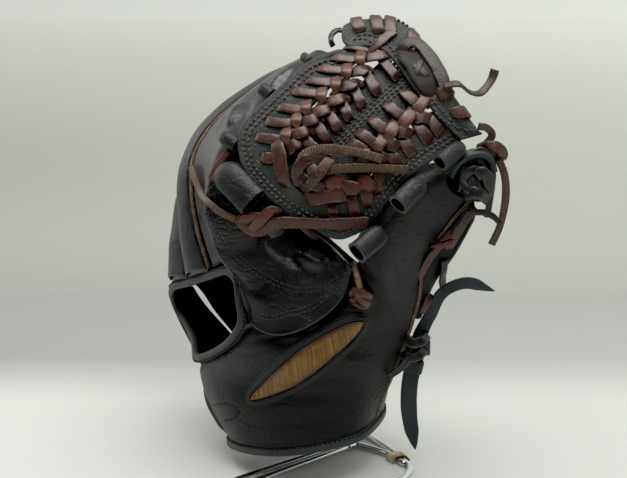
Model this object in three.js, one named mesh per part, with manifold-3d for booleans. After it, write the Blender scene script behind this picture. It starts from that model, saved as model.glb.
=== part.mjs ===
// A left-hand baseball pitcher's glove, standing on a bent wire display stand.
// Millimetres, +Z up. The floor is z = 0. The thumb side faces -Y, the palm faces +X,
// the back of the hand faces -X and the little finger is on the +Y side.
// Every leather panel is a wall laid between four seams, as a glove is cut and sewn.
import * as THREE from "three";
import { mergeVertices } from "three/addons/utils/BufferGeometryUtils.js";
import Module from "manifold-3d";

const wasm = await Module();
wasm.setup();

// Driving dimensions
const LEATHER = 2.4; // wall of the shell leather
const PALM_WALL = 3.2; // palm leather with its lining
const SEAM_INSET = 1.7; // panel edge to seam line, room for the welt
const GAP = 0.35; // clearance between neighbouring pieces
const WELT = 2.2; // welt strip, square
const BINDING_W = 6; // rolled edge binding, height along the panel
const BINDING_T = 4.6; // rolled edge binding, through the edge
const LACE_W = 6; // rawhide lace
const LACE_T = 2;
const THIN_LACE_W = 5; // lace pulled narrow
const STRAP_W = 11; // wide adjusting strap at the thumb heel
const STRAP_T = 2.2;
const KEEPER_W = 10; // leather ring round that strap
const KEEPER_T = 1.8;
const WIRE_R = 2.2; // stand wire
const TAPE_W = 9; // tape on the stand's foot
const TAPE_T = 0.5;

// Seams of the shell. Columns: x, y, z. Each seam runs from the wrist to the fingertips.
const SEAM = {
  thumb_welt: [
    [40, -18, 34], [43, -21, 44], [46, -23, 53], [49.5, -26, 62], [52, -28, 70],
    [54.5, -29, 77], [57, -31, 84], [59.5, -32, 92], [62, -34, 100], [64.5, -36, 110], [67, -40, 122],
    [68, -44, 138], [74, -47, 154], [85, -51, 172], [97, -52, 186],
  ],
  thumb_free_edge: [
    [-57, 2, 17], [-68, 5, 34], [-75, 6, 50], [-77, 6, 64], [-62, -18, 75],
    [-47, -40, 90], [-41, -46, 103], [-23, -48, 110], [0, -49, 119], [17, -45, 134], [28, -45, 148],
    [32, -55, 161], [45, -61.5, 184], [64, -63.5, 203], [97, -56, 214],
  ],
  index_edge: [
    [26, -60, 146], [13, -52, 159], [-6, -50, 172], [-20, -50, 189],
    [-26, -47, 211], [-17, -41, 236], [0, -31, 259], [14, -17, 273],
  ],
  index_middle: [
    [-68, -15, 135], [-76, -8, 160], [-80, 0, 184], [-79, 5, 206],
    [-70, 8, 226], [-54, 10, 242], [-30, 10, 258], [-2, 8, 272],
  ],
  middle_ring: [
    [-86, 15, 124], [-92, 24, 147], [-95, 32, 168], [-92, 38, 190],
    [-83, 42, 209], [-66, 44, 227], [-42, 45, 243], [-14, 42, 257],
  ],
  ring_little: [
    [-100, 49, 114], [-102, 57, 138], [-102, 63, 158], [-98, 69, 178],
    [-88, 74, 196], [-72, 78, 212], [-50, 80, 227], [-24, 77, 240],
  ],
  little_edge: [
    [16, 60, 32], [6, 70, 56], [-8, 82, 78], [-24, 92, 96], [-40, 102, 112], [-53, 110, 130],
    [-63, 116, 150], [-70, 120, 170], [-70, 121, 190], [-60, 119, 207], [-45, 114, 220],
    [-28, 106, 229],
  ],
  heel_edge: [
    [-20, 60, 27], [-39, 74, 45], [-59, 82, 66], [-75, 88, 84], [-84, 88, 98], [-93, 78, 110],
    [-100, 62, 117], [-102, 57, 138], [-102, 63, 158], [-98, 69, 178],
    [-88, 74, 196], [-72, 78, 212], [-50, 80, 227], [-24, 77, 240],
  ],
  strap_far_edge: [[-24, 59, 26], [-42, 72, 45], [-60, 81, 66], [-76, 86, 84], [-89, 84, 102]],
  strap_near_edge: [
    [-59, 5, 17], [-70, 8, 34], [-77, 9, 50], [-80, 12, 63], [-84, 34, 68], [-91, 54, 73],
    [-99, 68, 83], [-104, 72, 96], [-105, 69, 107],
  ],
};

// Lines of the front leather from the wrist to the fingertips, row for row.
// The first and last are its edges, the three between are the valleys of the fingers.
const PALM = [
  [
    [41, -16, 35], [49.5, -22, 60], [56, -27, 82], [61.5, -31, 102], [54, -38, 126], [30, -46, 143],
    [9, -44, 160], [-9, -46, 178], [-19, -46, 199], [-20, -43, 222], [-6, -34, 246], [12, -16, 268],
  ],
  [
    [47, -2, 35], [51, -8, 58], [51, -12, 80], [46, -14, 102], [28, -12, 122], [-2, -4, 140],
    [-30, 3, 156], [-52, 7, 174], [-66, 10, 192], [-67, 12, 213], [-46, 14, 238], [-1, 11, 263],
  ],
  [
    [47, 17, 36], [49, 20, 58], [46, 22, 80], [36, 24, 101], [14, 26, 119], [-18, 28, 134],
    [-46, 33, 148], [-66, 38, 163], [-79, 43, 181], [-78, 46, 200], [-59, 48, 222], [-13, 44, 246],
  ],
  [
    [39, 38, 36], [39, 43, 57], [32, 50, 79], [18, 56, 99], [-4, 62, 115], [-32, 67, 127],
    [-58, 71, 140], [-76, 74, 155], [-86, 77, 171], [-83, 80, 189], [-66, 83, 208], [-24, 80, 230],
  ],
  [
    [16, 60, 32], [6, 70, 56], [-8, 82, 78], [-24, 92, 96], [-40, 102, 112], [-53, 109, 130],
    [-62, 114, 150], [-68, 118, 170], [-68, 119, 189], [-58, 117, 205], [-44, 110, 217],
    [-25, 102, 222],
  ],
];

// The fingers past the index curl in towards the palm, by distances evenly spaced over their height.
const CURL = [0, 5, 11, 14.5, 14.5, 13, 11.5, 9, 0];
const CURL_FROM = { y: 4, z: 120 };
const CURL_TO = { y: 16, z: 270 };
function curled(rows) {
  const distance = profile(CURL);
  const share = profile([0, 1]);
  const place = (x, from, to) => (x - from) / (to - from);
  return rows.map(([x, y, z]) => {
    const inwards = share(place(y, CURL_FROM.y, CURL_TO.y));
    return [x + inwards * distance(place(z, CURL_FROM.z, CURL_TO.z)), y, z];
  });
}
for (const name in SEAM) if (!name.startsWith("thumb")) SEAM[name] = curled(SEAM[name]);
PALM.forEach((rows, line) => (PALM[line] = curled(rows)));

// Openings' edges. Columns: x, y, z, along the middle of the binding.
const RIM = [
  [-57, 4, 13], [-46, -27, 17], [-22, -45, 21], [7, -49, 26], [29, -39, 29], [41, -17, 31],
  [47.5, 10, 33], [39, 40, 32], [16, 60, 28], [-15, 60, 22], [-43, 40, 15],
];
const WINDOW = [
  [-46, -49, 122], [-45, -49, 108], [-50, -44, 97], [-63, -21, 81], [-79, 8, 69], [-83, 33, 74],
  [-89, 53, 79], [-97, 66, 88], [-101, 66, 100], [-98, 46, 110], [-84, 14, 120], [-67, -16, 131],
  [-54, -37, 138], [-48, -46, 134],
];
const THUMB_NOTCH = [[97, -56, 214], [87, -65, 208], [81, -69, 201], [86, -62, 192], [97, -52, 186]];
const KNUCKLE_SEAM = [
  [-68, -15, 135], [-49, -42, 144], [-42, -51, 133], [-39, -57, 119], [-38, -60, 108],
  [-22, -67, 103], [0, -69, 111], [18, -67, 127], [26, -60, 146],
];

// Lines of the thumb's front leather, each from the heel to the thumb's tip: the welt,
// the crest beside it, the hollow that faces the pocket, and the edge under the web.
const THUMB_FRONT = [
  [
    [64, -31, 103], [66, -35, 119], [68, -42, 134], [71, -45, 149], [80, -49, 165], [88, -50, 177],
    [93, -49, 185],
  ],
  [
    [69, -28, 103], [73, -31, 118], [79, -34, 132], [89, -37, 148], [97, -39, 163], [101, -42, 173],
    [99, -47, 183],
  ],
  [
    [51, -26, 121], [53, -31, 136], [58, -34, 149], [66, -39, 164], [76, -44, 181], [89, -47, 195],
    [98, -49, 198],
  ],
  [
    [35, -41, 132], [32, -44, 147], [34, -48, 161], [41, -52, 174], [52, -55.5, 187], [70, -57, 202],
    [96, -53, 212],
  ],
];

// Edges and lace holes of the web. Columns: x, z, on the bowl of webPoint.
const WEB = {
  frame_outer: [
    [14, 275], [-2, 269], [-14, 259], [-25, 249], [-37, 238], [-44, 230], [-46, 221], [-45, 213],
    [-41, 203], [-30, 191], [-18, 181], [1, 170], [10, 165], [17, 164], [23, 166], [32, 171],
    [39, 178], [45, 187], [52, 196], [63, 206], [78, 216], [89, 222],
  ],
  frame_inner: [
    [36, 278], [29, 271], [20, 262], [10, 253], [2, 245], [-7, 236], [-14, 230], [-18, 222],
    [-20, 212], [-16, 202], [-8, 194], [3, 188], [9, 187], [15, 187], [20, 189], [25, 194],
    [31, 200], [38, 207], [46, 215], [56, 225], [67, 235], [76, 244],
  ],
  tongue_left: [
    [44, 273], [36, 266], [30, 259], [23, 253], [16, 247], [10, 241], [4, 234], [-4, 226],
    [-11, 219], [-19, 211], [-25, 204],
  ],
  tongue_right: [
    [70, 249], [61, 241], [55, 236], [50, 231], [43, 225], [37, 219], [30, 212], [24, 206],
    [16, 199], [8, 191], [0, 184],
  ],
  top_outer: [
    [11, 277], [20, 288], [36, 292], [54, 290], [68, 276], [80, 254], [93, 235], [100, 226],
  ],
  top_inner: [
    [17, 270], [25, 275], [41, 274], [50, 266], [58, 255], [66, 245], [75, 235], [87, 223],
  ],
  spine_upper: [[34, 269], [26, 262], [13, 250], [1, 238], [-9, 227], [-14, 216]],
  spine_lower: [[63, 237], [57, 232], [50, 226], [38, 213], [28, 203], [18, 194]],
  holes_upper_left: [
    [15, 266], [10, 264], [4, 260], [-3, 258], [-12, 251], [-20, 242], [-28, 235], [-33, 224],
    [-31, 213],
  ],
  holes_upper_right: [[49, 262], [40, 252], [28, 244], [21, 237], [15, 230], [9, 223], [2, 217]],
  holes_lower_left: [[56, 251], [45, 244], [36, 235], [29, 228], [22, 221], [16, 213]],
  holes_lower_right: [
    [72, 225], [65, 220], [59, 215], [50, 208], [43, 200], [38, 192], [32, 185], [25, 178],
  ],
};

// Laces that lie on the index finger's back or on the thumb. Columns: x, z, lift off the leather.
const KNOTTED_LACE = [
  [-79, 201, 2.2], [-73, 188, 3.2], [-61, 182, 4], [-47, 177, 3], [-34, 173, 4], [-24, 172, 7],
  [-16, 172, 14],
];
const KNOTTED_TAIL = [[-16, 172, 0.6], [-5, 171, 4.6], [10, 173, 4.8], [23, 173, 4.8], [34, 173, 4.8]];
const EMBLEM = { from: [-40, 52], to: [33, 117], half: [3, 12, 15, 15, 14, 12, 3], height: 1.4 };
const THUMB_PIN = [[29.5, 144, 2.6], [29.5, 139, 2.4], [29.5, 133, 2.2], [30, 127, 2.4]];

// A run of lace between the thumb's welt and crest. Columns: across, along, lift off the leather.
const SIDE_LACE = [
  [0.2, 0.93, 2], [0.2, 0.8, 2], [0.2, 0.66, 2], [0.17, 0.56, 2], [0.1, 0.48, 1.9],
  [0.09, 0.36, 2], [0.09, 0.24, 2],
];

// Laces on the web's face. Columns: x, z, lift off the bowl.
const WEB_TAILS = [
  [[-6, 210, 8.4], [0, 217, 8.6], [9, 218, 8.6], [21, 218, 8.6], [31, 216, 8.6], [40, 213, 8.6]],
  [[2, 205, 8.6], [12, 206, 8.6], [24, 208, 8.6], [36, 208, 8.6], [55, 207, 8.6]],
];
const RIM_RUN = [
  [59, 271, 10], [64, 272, 10.2], [71, 267, 10.2], [76, 259, 10.2], [78, 251, 10.2], [79, 244, 10],
];

// Laces and straps in the air. Columns: x, y, z.
const LONG_LACE = [
  [99, -65, 232], [104, -63, 231], [108, -59, 226], [104, -60, 221], [100, -61, 219],
  [109, -58, 215], [116, -55, 204], [118, -54, 189], [115, -54, 170], [110, -54, 158],
];
const BLACK_LACE = [
  [93.3, -63, 208], [94, -69, 215], [101, -67, 218], [108, -62, 208], [108, -61, 193],
  [106, -60, 176],
];
const BLACK_CURL = [[99, -59, 179], [104, -60, 179], [109, -60, 177], [115, -60, 172]];
const RIM_TAIL = [
  [78, -63, 256], [86, -64.5, 257.5], [94, -54, 252], [102, -47, 251], [109, -44, 259], [111, -44, 265],
];
const ADJUSTING_STRAP = [
  [115, -36, 125], [96, -41, 131], [82, -41, 125], [75.3, -34.6, 110], [69.4, -24.6, 93],
  [66.4, -24, 78], [63, -23, 60], [63, -21, 40], [67.5, -19, 14],
];
const STRAP_WIDTHS = [0.2, 0.7, 0.68, 0.7, 0.75, 0.9, 1, 1, 1, 0.95, 0.25]; // from tip to tip
const KEEPER_AT = [67.6, -24, 85];
const HEEL_LACE = [[49, -33.5, 68], [55.5, -37, 74], [62, -33, 80], [64.5, -30, 88]];
const SIDE_STRAP = [
  [82.6, -41.3, 145.5], [82.4, -39.5, 139], [82, -35, 132], [83, -31, 125], [84, -28, 119],
];
const STRAP_LACE = [[-60.5, 2.5, 20], [-71.5, 5, 35], [-78.5, 6, 50], [-80.5, 7, 61]];

// Where laces wrap the web's top edge, as parts of that edge's length.
const EDGE_WRAPS = [0.21, 0.31, 0.38, 0.51, 0.735, 0.83];

// Black lace tabs that hold the web. Columns: x, z, lift on the web, then one end in x, y, z.
const TABS = {
  web_tab_index_1: { width: 6, web: [[2, 267, 5], [-6, 273, 4]], end: [-9, -20.5, 270.5] },
  web_tab_index_2: { width: 6, web: [[-21, 245, 4.8], [-30, 252, 4]], end: [-33, -28.5, 251] },
  web_tab_index_3: { width: 7, web: [[-39, 226, 4.8], [-49, 231, 3.4]], end: [-55, -40, 223] },
  web_tab_index_4: { width: 15, web: [[-36, 205, 5.4], [-47, 202, 6]], end: [-62, -47.5, 200] },
  web_tab_thumb_1: { width: 11, web: [[75, 217, 5.4], [79, 210, 6]], end: [79, -76, 201] },
  web_tab_thumb_2: { width: 12, web: [[53, 200, 3.8], [58, 194, 12]], end: [62, -87.5, 180] },
  web_tab_thumb_3: { width: 9, web: [[38, 181, 4], [42, 176, 16]], end: [47, -92, 165] },
};

// The stand: three hairpin feet and a hoop up into the hand, all of one wire. Columns: x, y, z.
const FLOOR = WIRE_R * Math.cos(Math.PI / 8); // the wire's height when a flat of it is down
const STAND = {
  left_foot: [
    [26, 28, FLOOR], [-14, -10, FLOOR], [-50, -46, FLOOR], [-63, -62, FLOOR], [-60, -67, FLOOR],
    [-53, -63, FLOOR], [-10, -18, FLOOR], [30, 24, FLOOR],
  ],
  right_foot: [
    [20, 56, FLOOR], [34, 48, FLOOR], [50, 20, FLOOR], [62, -14, FLOOR], [64, -24, FLOOR],
    [60, -38, FLOOR], [52, -50, FLOOR],
  ],
  right_brace: [[14, 36, FLOOR], [34, 20, FLOOR], [50, 5, FLOOR], [61, -16, FLOOR]],
  rear_foot: [
    [26, 16, FLOOR], [-4, 42, FLOOR], [-38, 70, FLOOR], [-33, 77, FLOOR], [-24, 72, FLOOR],
    [14, 50, FLOOR], [38, 43, FLOOR],
  ],
  hoop: [
    [24, 22, FLOOR], [23, 22, 20], [20, 12, 50], [14, 0, 84], [7, -4, 112], [-1, 5, 125],
    [0.2, 23.2, 125.6], [10, 28, 98], [14, 26, 52], [20, 28, 20], [21, 30, FLOOR],
  ],
};
const TAPE = [
  [51.6, -7, 0.6], [52, -6.8, 4], [53.6, -6, 5.1], [60, -3.4, 5.1], [61.9, -2.7, 4], [62.3, -2.5, 0.6],
];

const vec = (p) => new THREE.Vector3(p[0], p[1], p[2]);
const fair = (points, closed = false) => new THREE.CatmullRomCurve3(points, closed, "centripetal");
const path = (rows, closed = false) => fair(rows.map(vec), closed);
const towardsThumb = () => new THREE.Vector3(0, -1, 0);
const mix = (a, b, t) => a.clone().lerp(b, t);

// A seam as a function of t from 0 to 1, row by row, over rows from and to of its table.
function seam(rows, from = 0, to = rows.length - 1) {
  const curve = path(rows);
  const last = rows.length - 1;
  return (t) => curve.getPoint((from + (to - from) * t) / last);
}

// A value read from a short list of heights, evenly spaced over t from 0 to 1.
function profile(values) {
  return (t) => {
    const x = Math.min(Math.max(t, 0), 1) * (values.length - 1);
    const i = Math.min(Math.floor(x), values.length - 2);
    const f = x - i;
    return values[i] + (values[i + 1] - values[i]) * f * f * (3 - 2 * f);
  };
}

// A surface between four seams, blended so that it passes through all of them.
function coons({ bottom, top, left, right }) {
  const corner = [left(0), right(0), left(1), right(1)];
  return (s, t) => {
    const p = new THREE.Vector3();
    p.addScaledVector(bottom(s), 1 - t).addScaledVector(top(s), t);
    p.addScaledVector(left(t), 1 - s).addScaledVector(right(t), s);
    p.addScaledVector(corner[0], -(1 - s) * (1 - t)).addScaledVector(corner[1], -s * (1 - t));
    p.addScaledVector(corner[2], -(1 - s) * t).addScaledVector(corner[3], -s * t);
    return p;
  };
}

function normalAt(surface, s, t) {
  const d = 0.01;
  const across = surface(Math.min(s + d, 1), t).sub(surface(Math.max(s - d, 0), t));
  const up = surface(s, Math.min(t + d, 1)).sub(surface(s, Math.max(t - d, 0)));
  return across.cross(up).normalize();
}

// A surface swelled outwards by height(t), most in the middle of each rib.
function swelled(surface, height, fullness = 1) {
  return (s, t) => {
    const rise = height(t) * Math.pow(Math.max(Math.sin(Math.PI * s), 0), fullness);
    return surface(s, t).addScaledVector(normalAt(surface, 0.5, t), rise);
  };
}

// A surface held short of its seams by an inset in millimetres, measured along each row.
function trimmed(surface, side, end = side) {
  return (s, t) => {
    const ds = Math.min(side / surface(0, t).distanceTo(surface(1, t)), 0.3);
    const dt = Math.min(end / surface(s, 0).distanceTo(surface(s, 1)), 0.3);
    return surface(ds + (1 - 2 * ds) * s, dt + (1 - 2 * dt) * t);
  };
}

// Closes a grid of outer points and the matching grid of inner points into one solid.
function shell(outer, inner) {
  const rows = outer.length;
  const cols = outer[0].length;
  const points = [...outer.flat(), ...inner.flat()];
  const at = (i, j, side) => side * rows * cols + i * cols + j;
  const index = [];
  const quad = (a, b, c, d) => index.push(a, b, c, a, c, d);
  for (let i = 0; i < rows - 1; i++)
    for (let j = 0; j < cols - 1; j++) {
      quad(at(i, j, 0), at(i, j + 1, 0), at(i + 1, j + 1, 0), at(i + 1, j, 0));
      quad(at(i, j, 1), at(i + 1, j, 1), at(i + 1, j + 1, 1), at(i, j + 1, 1));
    }
  for (let j = 0; j < cols - 1; j++) {
    quad(at(0, j, 0), at(0, j, 1), at(0, j + 1, 1), at(0, j + 1, 0));
    quad(at(rows - 1, j, 0), at(rows - 1, j + 1, 0), at(rows - 1, j + 1, 1), at(rows - 1, j, 1));
  }
  for (let i = 0; i < rows - 1; i++) {
    quad(at(i, 0, 0), at(i + 1, 0, 0), at(i + 1, 0, 1), at(i, 0, 1));
    quad(at(i, cols - 1, 0), at(i, cols - 1, 1), at(i + 1, cols - 1, 1), at(i + 1, cols - 1, 0));
  }
  return facingOut(solidGeometry(points, index));
}

function solidGeometry(points, index) {
  const g = new THREE.BufferGeometry().setFromPoints(points);
  g.setIndex(index);
  return g;
}

// Turns a closed geometry's faces outwards.
function facingOut(g) {
  const p = g.getAttribute("position");
  const idx = g.index.array;
  const [a, b, c] = [new THREE.Vector3(), new THREE.Vector3(), new THREE.Vector3()];
  let volume = 0;
  for (let i = 0; i < idx.length; i += 3) {
    a.fromBufferAttribute(p, idx[i]);
    b.fromBufferAttribute(p, idx[i + 1]);
    c.fromBufferAttribute(p, idx[i + 2]);
    volume += a.dot(b.cross(c));
  }
  if (volume < 0)
    for (let i = 0; i < idx.length; i += 3) [idx[i + 1], idx[i + 2]] = [idx[i + 2], idx[i + 1]];
  return g;
}

// A leather wall whose outer face is the surface, its thickness laid inwards.
function wall(surface, across, up, thickness = LEATHER) {
  const outer = [];
  const inner = [];
  for (let i = 0; i <= up; i++) {
    outer.push([]);
    inner.push([]);
    for (let j = 0; j <= across; j++) {
      const [s, t] = [j / across, i / up];
      const p = surface(s, t);
      outer[i].push(p);
      inner[i].push(p.clone().addScaledVector(normalAt(surface, s, t), -thickness));
    }
  }
  return shell(outer, inner);
}

// A strip or cord: a section of [side, face] offsets carried along a curve.
// facing(t) is the way the strip's face looks; scale(t) narrows it.
function sweep(curve, section, steps, facing, { closed = false, scale = () => 1 } = {}) {
  const points = [];
  const rings = closed ? steps : steps + 1;
  for (let i = 0; i < rings; i++) {
    const t = i / steps;
    const p = curve.getPointAt(t);
    const along = curve.getTangentAt(t);
    const side = along.clone().cross(facing(t)).normalize();
    const face = side.clone().cross(along).normalize();
    for (const [a, b] of section)
      points.push(p.clone().addScaledVector(side, a * scale(t)).addScaledVector(face, b));
  }
  const n = section.length;
  const index = [];
  for (let i = 0; i < steps; i++)
    for (let j = 0; j < n; j++) {
      const [a, b] = [i * n + j, i * n + ((j + 1) % n)];
      const [c, d] = [((i + 1) % rings) * n + ((j + 1) % n), ((i + 1) % rings) * n + j];
      index.push(a, b, c, a, c, d);
    }
  if (!closed)
    for (let j = 1; j < n - 1; j++) {
      index.push(0, j + 1, j);
      index.push(steps * n, steps * n + j, steps * n + j + 1);
    }
  return facingOut(solidGeometry(points, index));
}

// Sections of strips and cords, as [side, face] offsets
const flat = (w, t) => [[-w / 2, -t / 2], [w / 2, -t / 2], [w / 2, t / 2], [-w / 2, t / 2]];
function round(radius, sides) {
  return Array.from({ length: sides }, (_, i) => {
    const a = ((i + 0.5) / sides) * 2 * Math.PI;
    return [radius * Math.cos(a), radius * Math.sin(a)];
  });
}
function oval(w, t, sides = 6) {
  return round(0.5, sides).map(([a, b]) => [a * w, b * t]);
}

function solid(geometry) {
  const bare = geometry.clone();
  bare.deleteAttribute("normal");
  bare.deleteAttribute("uv");
  const m = mergeVertices(bare, 1e-4);
  return new wasm.Manifold(
    new wasm.Mesh({
      numProp: 3,
      vertProperties: m.getAttribute("position").array,
      triVerts: new Uint32Array(m.index.array),
    }),
  );
}

function geometryOf(manifold) {
  const m = manifold.getMesh();
  const g = new THREE.BufferGeometry();
  g.setAttribute("position", new THREE.BufferAttribute(new Float32Array(m.vertProperties), 3));
  g.setIndex(new THREE.BufferAttribute(new Uint32Array(m.triVerts), 1));
  return g;
}

const joined = (geometries) => geometries.map(solid).reduce((a, b) => a.add(b));

const MATERIAL = {
  black_leather: { color: 0x17191a, roughness: 0.5, metalness: 0 },
  black_lace: { color: 0x141516, roughness: 0.6, metalness: 0 },
  welt_tan: { color: 0x3d2c22, roughness: 0.7, metalness: 0 },
  brown_lace: { color: 0x5b2f20, roughness: 0.55, metalness: 0 },
  gold_thread: { color: 0x9a6b24, roughness: 0.6, metalness: 0.1 },
  tape: { color: 0xb8a07c, roughness: 0.8, metalness: 0 },
  chrome: { color: 0xd0d3d6, roughness: 0.15, metalness: 1 },
};
const glove = new THREE.Group();
function add(name, geometry, material) {
  const mesh = new THREE.Mesh(geometry, new THREE.MeshStandardMaterial(MATERIAL[material]));
  mesh.name = name;
  glove.add(mesh);
}

// The wrist rim between two rows of its table, lifted on to the binding, ends fitted to a and b.
function rimBetween(from, to, a, b) {
  const curve = path(RIM, true);
  const lifted = (s) => {
    const p = curve.getPoint((from + (to - from) * s) / RIM.length);
    return p.setZ(p.z + BINDING_W / 2 + GAP);
  };
  const [da, db] = [a.clone().sub(lifted(0)), b.clone().sub(lifted(1))];
  return (s) => lifted(s).add(mix(da, db, s));
}

const straight = (a, b) => (s) => mix(a, b, s);

// The shell's back panels
function thumbSurface() {
  const left = seam(SEAM.thumb_free_edge);
  const right = seam(SEAM.thumb_welt);
  return swelled(
    coons({ bottom: rimBetween(0, 5, left(0), right(0)), top: seam(THUMB_NOTCH), left, right }),
    profile([0, 1, 2, 2, 0, -3, -6, -7, -6, -3, 2, 8, 8, 5, 0]),
  );
}

function indexSurface() {
  const left = seam(SEAM.index_middle);
  const right = seam(SEAM.index_edge);
  const bottom = seam(KNUCKLE_SEAM);
  return swelled(
    coons({ bottom, top: straight(left(1), right(1)), left, right }),
    profile([0, 5, 9, 12, 12, 11, 9, 5]),
  );
}

function fingerBack(leftRows, rightRows) {
  const left = seam(leftRows);
  const right = seam(rightRows);
  const surface = swelled(
    coons({ bottom: straight(left(0), right(0)), top: straight(left(1), right(1)), left, right }),
    profile([7, 9, 11, 11, 10, 8, 5]),
    0.8,
  );
  return wall(trimmed(surface, SEAM_INSET, GAP), 5, 10);
}

// The little finger's back runs on down the far side of the hand to the wrist.
function littleBack() {
  const left = seam(SEAM.little_edge);
  const right = seam(SEAM.heel_edge);
  const bottom = rimBetween(8, 9.1, left(0), right(0));
  const surface = swelled(
    coons({ bottom, top: straight(left(1), right(1)), left, right }),
    profile([0, 2, 4, 6, 8, 10, 9, 4]),
  );
  return wall(trimmed(surface, SEAM_INSET, GAP), 7, 15);
}

// The wrist strap goes round the heel of the hand and up the window's far side.
function wristStrap() {
  const left = seam(SEAM.strap_far_edge);
  const right = seam(SEAM.strap_near_edge);
  const bottom = rimBetween(9.2, 11, left(0), right(0));
  const surface = coons({ bottom, top: straight(left(1), right(1)), left, right });
  return wall(trimmed(surface, GAP), 6, 11);
}

// A surface through neighbouring lines, each a table of rows.
function loft(tables) {
  const lines = tables.map((rows) => seam(rows));
  return (s, t) => fair(lines.map((line) => line(t))).getPoint(s);
}

// The front leather: palm and finger fronts in one sheet, swelled between its lines.
function palmSheet() {
  const base = loft(PALM);
  const fingers = PALM.length - 1;
  const rise = profile([0, 0, -1, -1, 1, 5, 9, 10, 10, 8, 6, 3]);
  const surface = (s, t) => {
    const bulge = rise(t) * Math.abs(Math.sin(Math.PI * s * fingers)) ** 0.7;
    return base(s, t).addScaledVector(normalAt(base, s, t), bulge);
  };
  return wall(trimmed(surface, SEAM_INSET, GAP), 16, 14, PALM_WALL);
}

// The pocket side of the thumb, from its welt round to the edge under the web.
const thumbFront = loft(THUMB_FRONT);
const onThumbFront = (s, t, lift) =>
  thumbFront(s, t).addScaledVector(normalAt(thumbFront, s, t), lift);

// Edge bindings and welts
function binding(rows, centre) {
  const curve = path(rows, true);
  const facing = (t) => {
    const p = curve.getPointAt(t);
    return new THREE.Vector3(p.x - centre[0], p.y - centre[1], 0);
  };
  return sweep(curve, oval(BINDING_W, BINDING_T), 32, facing, { closed: true });
}

function welt(rows, steps, centre) {
  const curve = path(rows);
  const facing = (t) => curve.getPointAt(t).sub(vec(centre));
  return sweep(curve, flat(WELT, WELT), steps, facing);
}

// The web. Its leather follows one shallow bowl, given as y for each x and z.
function webPoint(x, z, lift = 0) {
  const [a, b] = [x - 25, z - 220];
  const y = -68.8 - 0.091 * a + 0.288 * b + 0.00288 * a * a - 0.00199 * a * b + 0.00626 * b * b;
  const slope = new THREE.Vector3(
    -0.091 + 0.00576 * a - 0.00199 * b, -1, 0.288 - 0.00199 * a + 0.01252 * b,
  );
  return new THREE.Vector3(x, y, z).addScaledVector(slope.normalize(), lift);
}

// A line drawn on the web, given by x and z alone.
const drawn = (rows) => path(rows.map(([x, z]) => [x, 0, z]));

// A wall on the web between two edges given in x and z, lifted off the bowl.
function webBand(fromRows, toRows, across, along, lift) {
  const [a, b] = [drawn(fromRows), drawn(toRows)];
  const surface = (s, t) => {
    const p = mix(a.getPoint(t), b.getPoint(t), s);
    return webPoint(p.x, p.z, lift);
  };
  return wall(surface, across, along);
}

// The place on a panel at a given x and z, seen from the thumb side, lifted off the leather.
function placeOn(surface) {
  const near = (s, t, x, z) => {
    const p = surface(s, t);
    return Math.hypot(p.x - x, p.z - z);
  };
  return (x, z, lift = 0) => {
    let [s, t] = [0.5, 0.5];
    for (let step = 0.25; step > 0.0005; step *= 0.75)
      for (const [ds, dt] of [[1, 0], [-1, 0], [0, 1], [0, -1], [1, 1], [-1, -1], [1, -1], [-1, 1]]) {
        const [s2, t2] = [s + ds * step, t + dt * step].map((v) => Math.min(Math.max(v, 0), 1));
        if (near(s2, t2, x, z) < near(s, t, x, z)) [s, t] = [s2, t2];
      }
    return surface(s, t).addScaledVector(normalAt(surface, s, t), lift);
  };
}

// A run of lace lying on a place function, through rows of x, z and lift.
function lyingLace(place, rows, steps = 8, width = LACE_W) {
  const curve = path(rows.map(([x, z, lift]) => place(x, z, lift).toArray()));
  const facing = (t) => {
    const p = curve.getPointAt(t);
    return place(p.x, p.z, 1).sub(place(p.x, p.z, 0));
  };
  return sweep(curve, flat(width, LACE_T), steps, facing);
}
const webLace = (rows, steps, width) => lyingLace(webPoint, rows, steps, width);

// A lace or strap in the air, its face turned to the given direction.
function airLace(rows, steps, width, facing = [0, -1, 0], thickness = LACE_T) {
  return sweep(path(rows), flat(width, thickness), steps, () => vec(facing));
}

// A knot pulled tight, as a rounded lump.
function knot(centre, radii) {
  const g = new THREE.IcosahedronGeometry(1, 1);
  return g.scale(...radii).translate(centre.x, centre.y, centre.z);
}

// A padded or embroidered patch along a line on a panel.
function patch(place, { from, to, half, height }) {
  const width = profile(half);
  const [ux, uz] = [to[0] - from[0], to[1] - from[1]];
  const length = Math.hypot(ux, uz);
  const surface = (s, t) => {
    const across = (2 * s - 1) * width(t);
    const x = from[0] + ux * t + (across * uz) / length;
    const z = from[1] + uz * t - (across * ux) / length;
    return place(x, z, GAP + 0.7 + height);
  };
  return wall(surface, 4, 10, height);
}

// A lace tab from the web's face over its edge to the finger or the thumb.
function tab({ width, web, end }) {
  const onWeb = web.map(([x, z, lift]) => webPoint(x, z, lift).toArray());
  return sweep(path([...onWeb, end]), flat(width, LACE_T), 5, towardsThumb);
}

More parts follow.
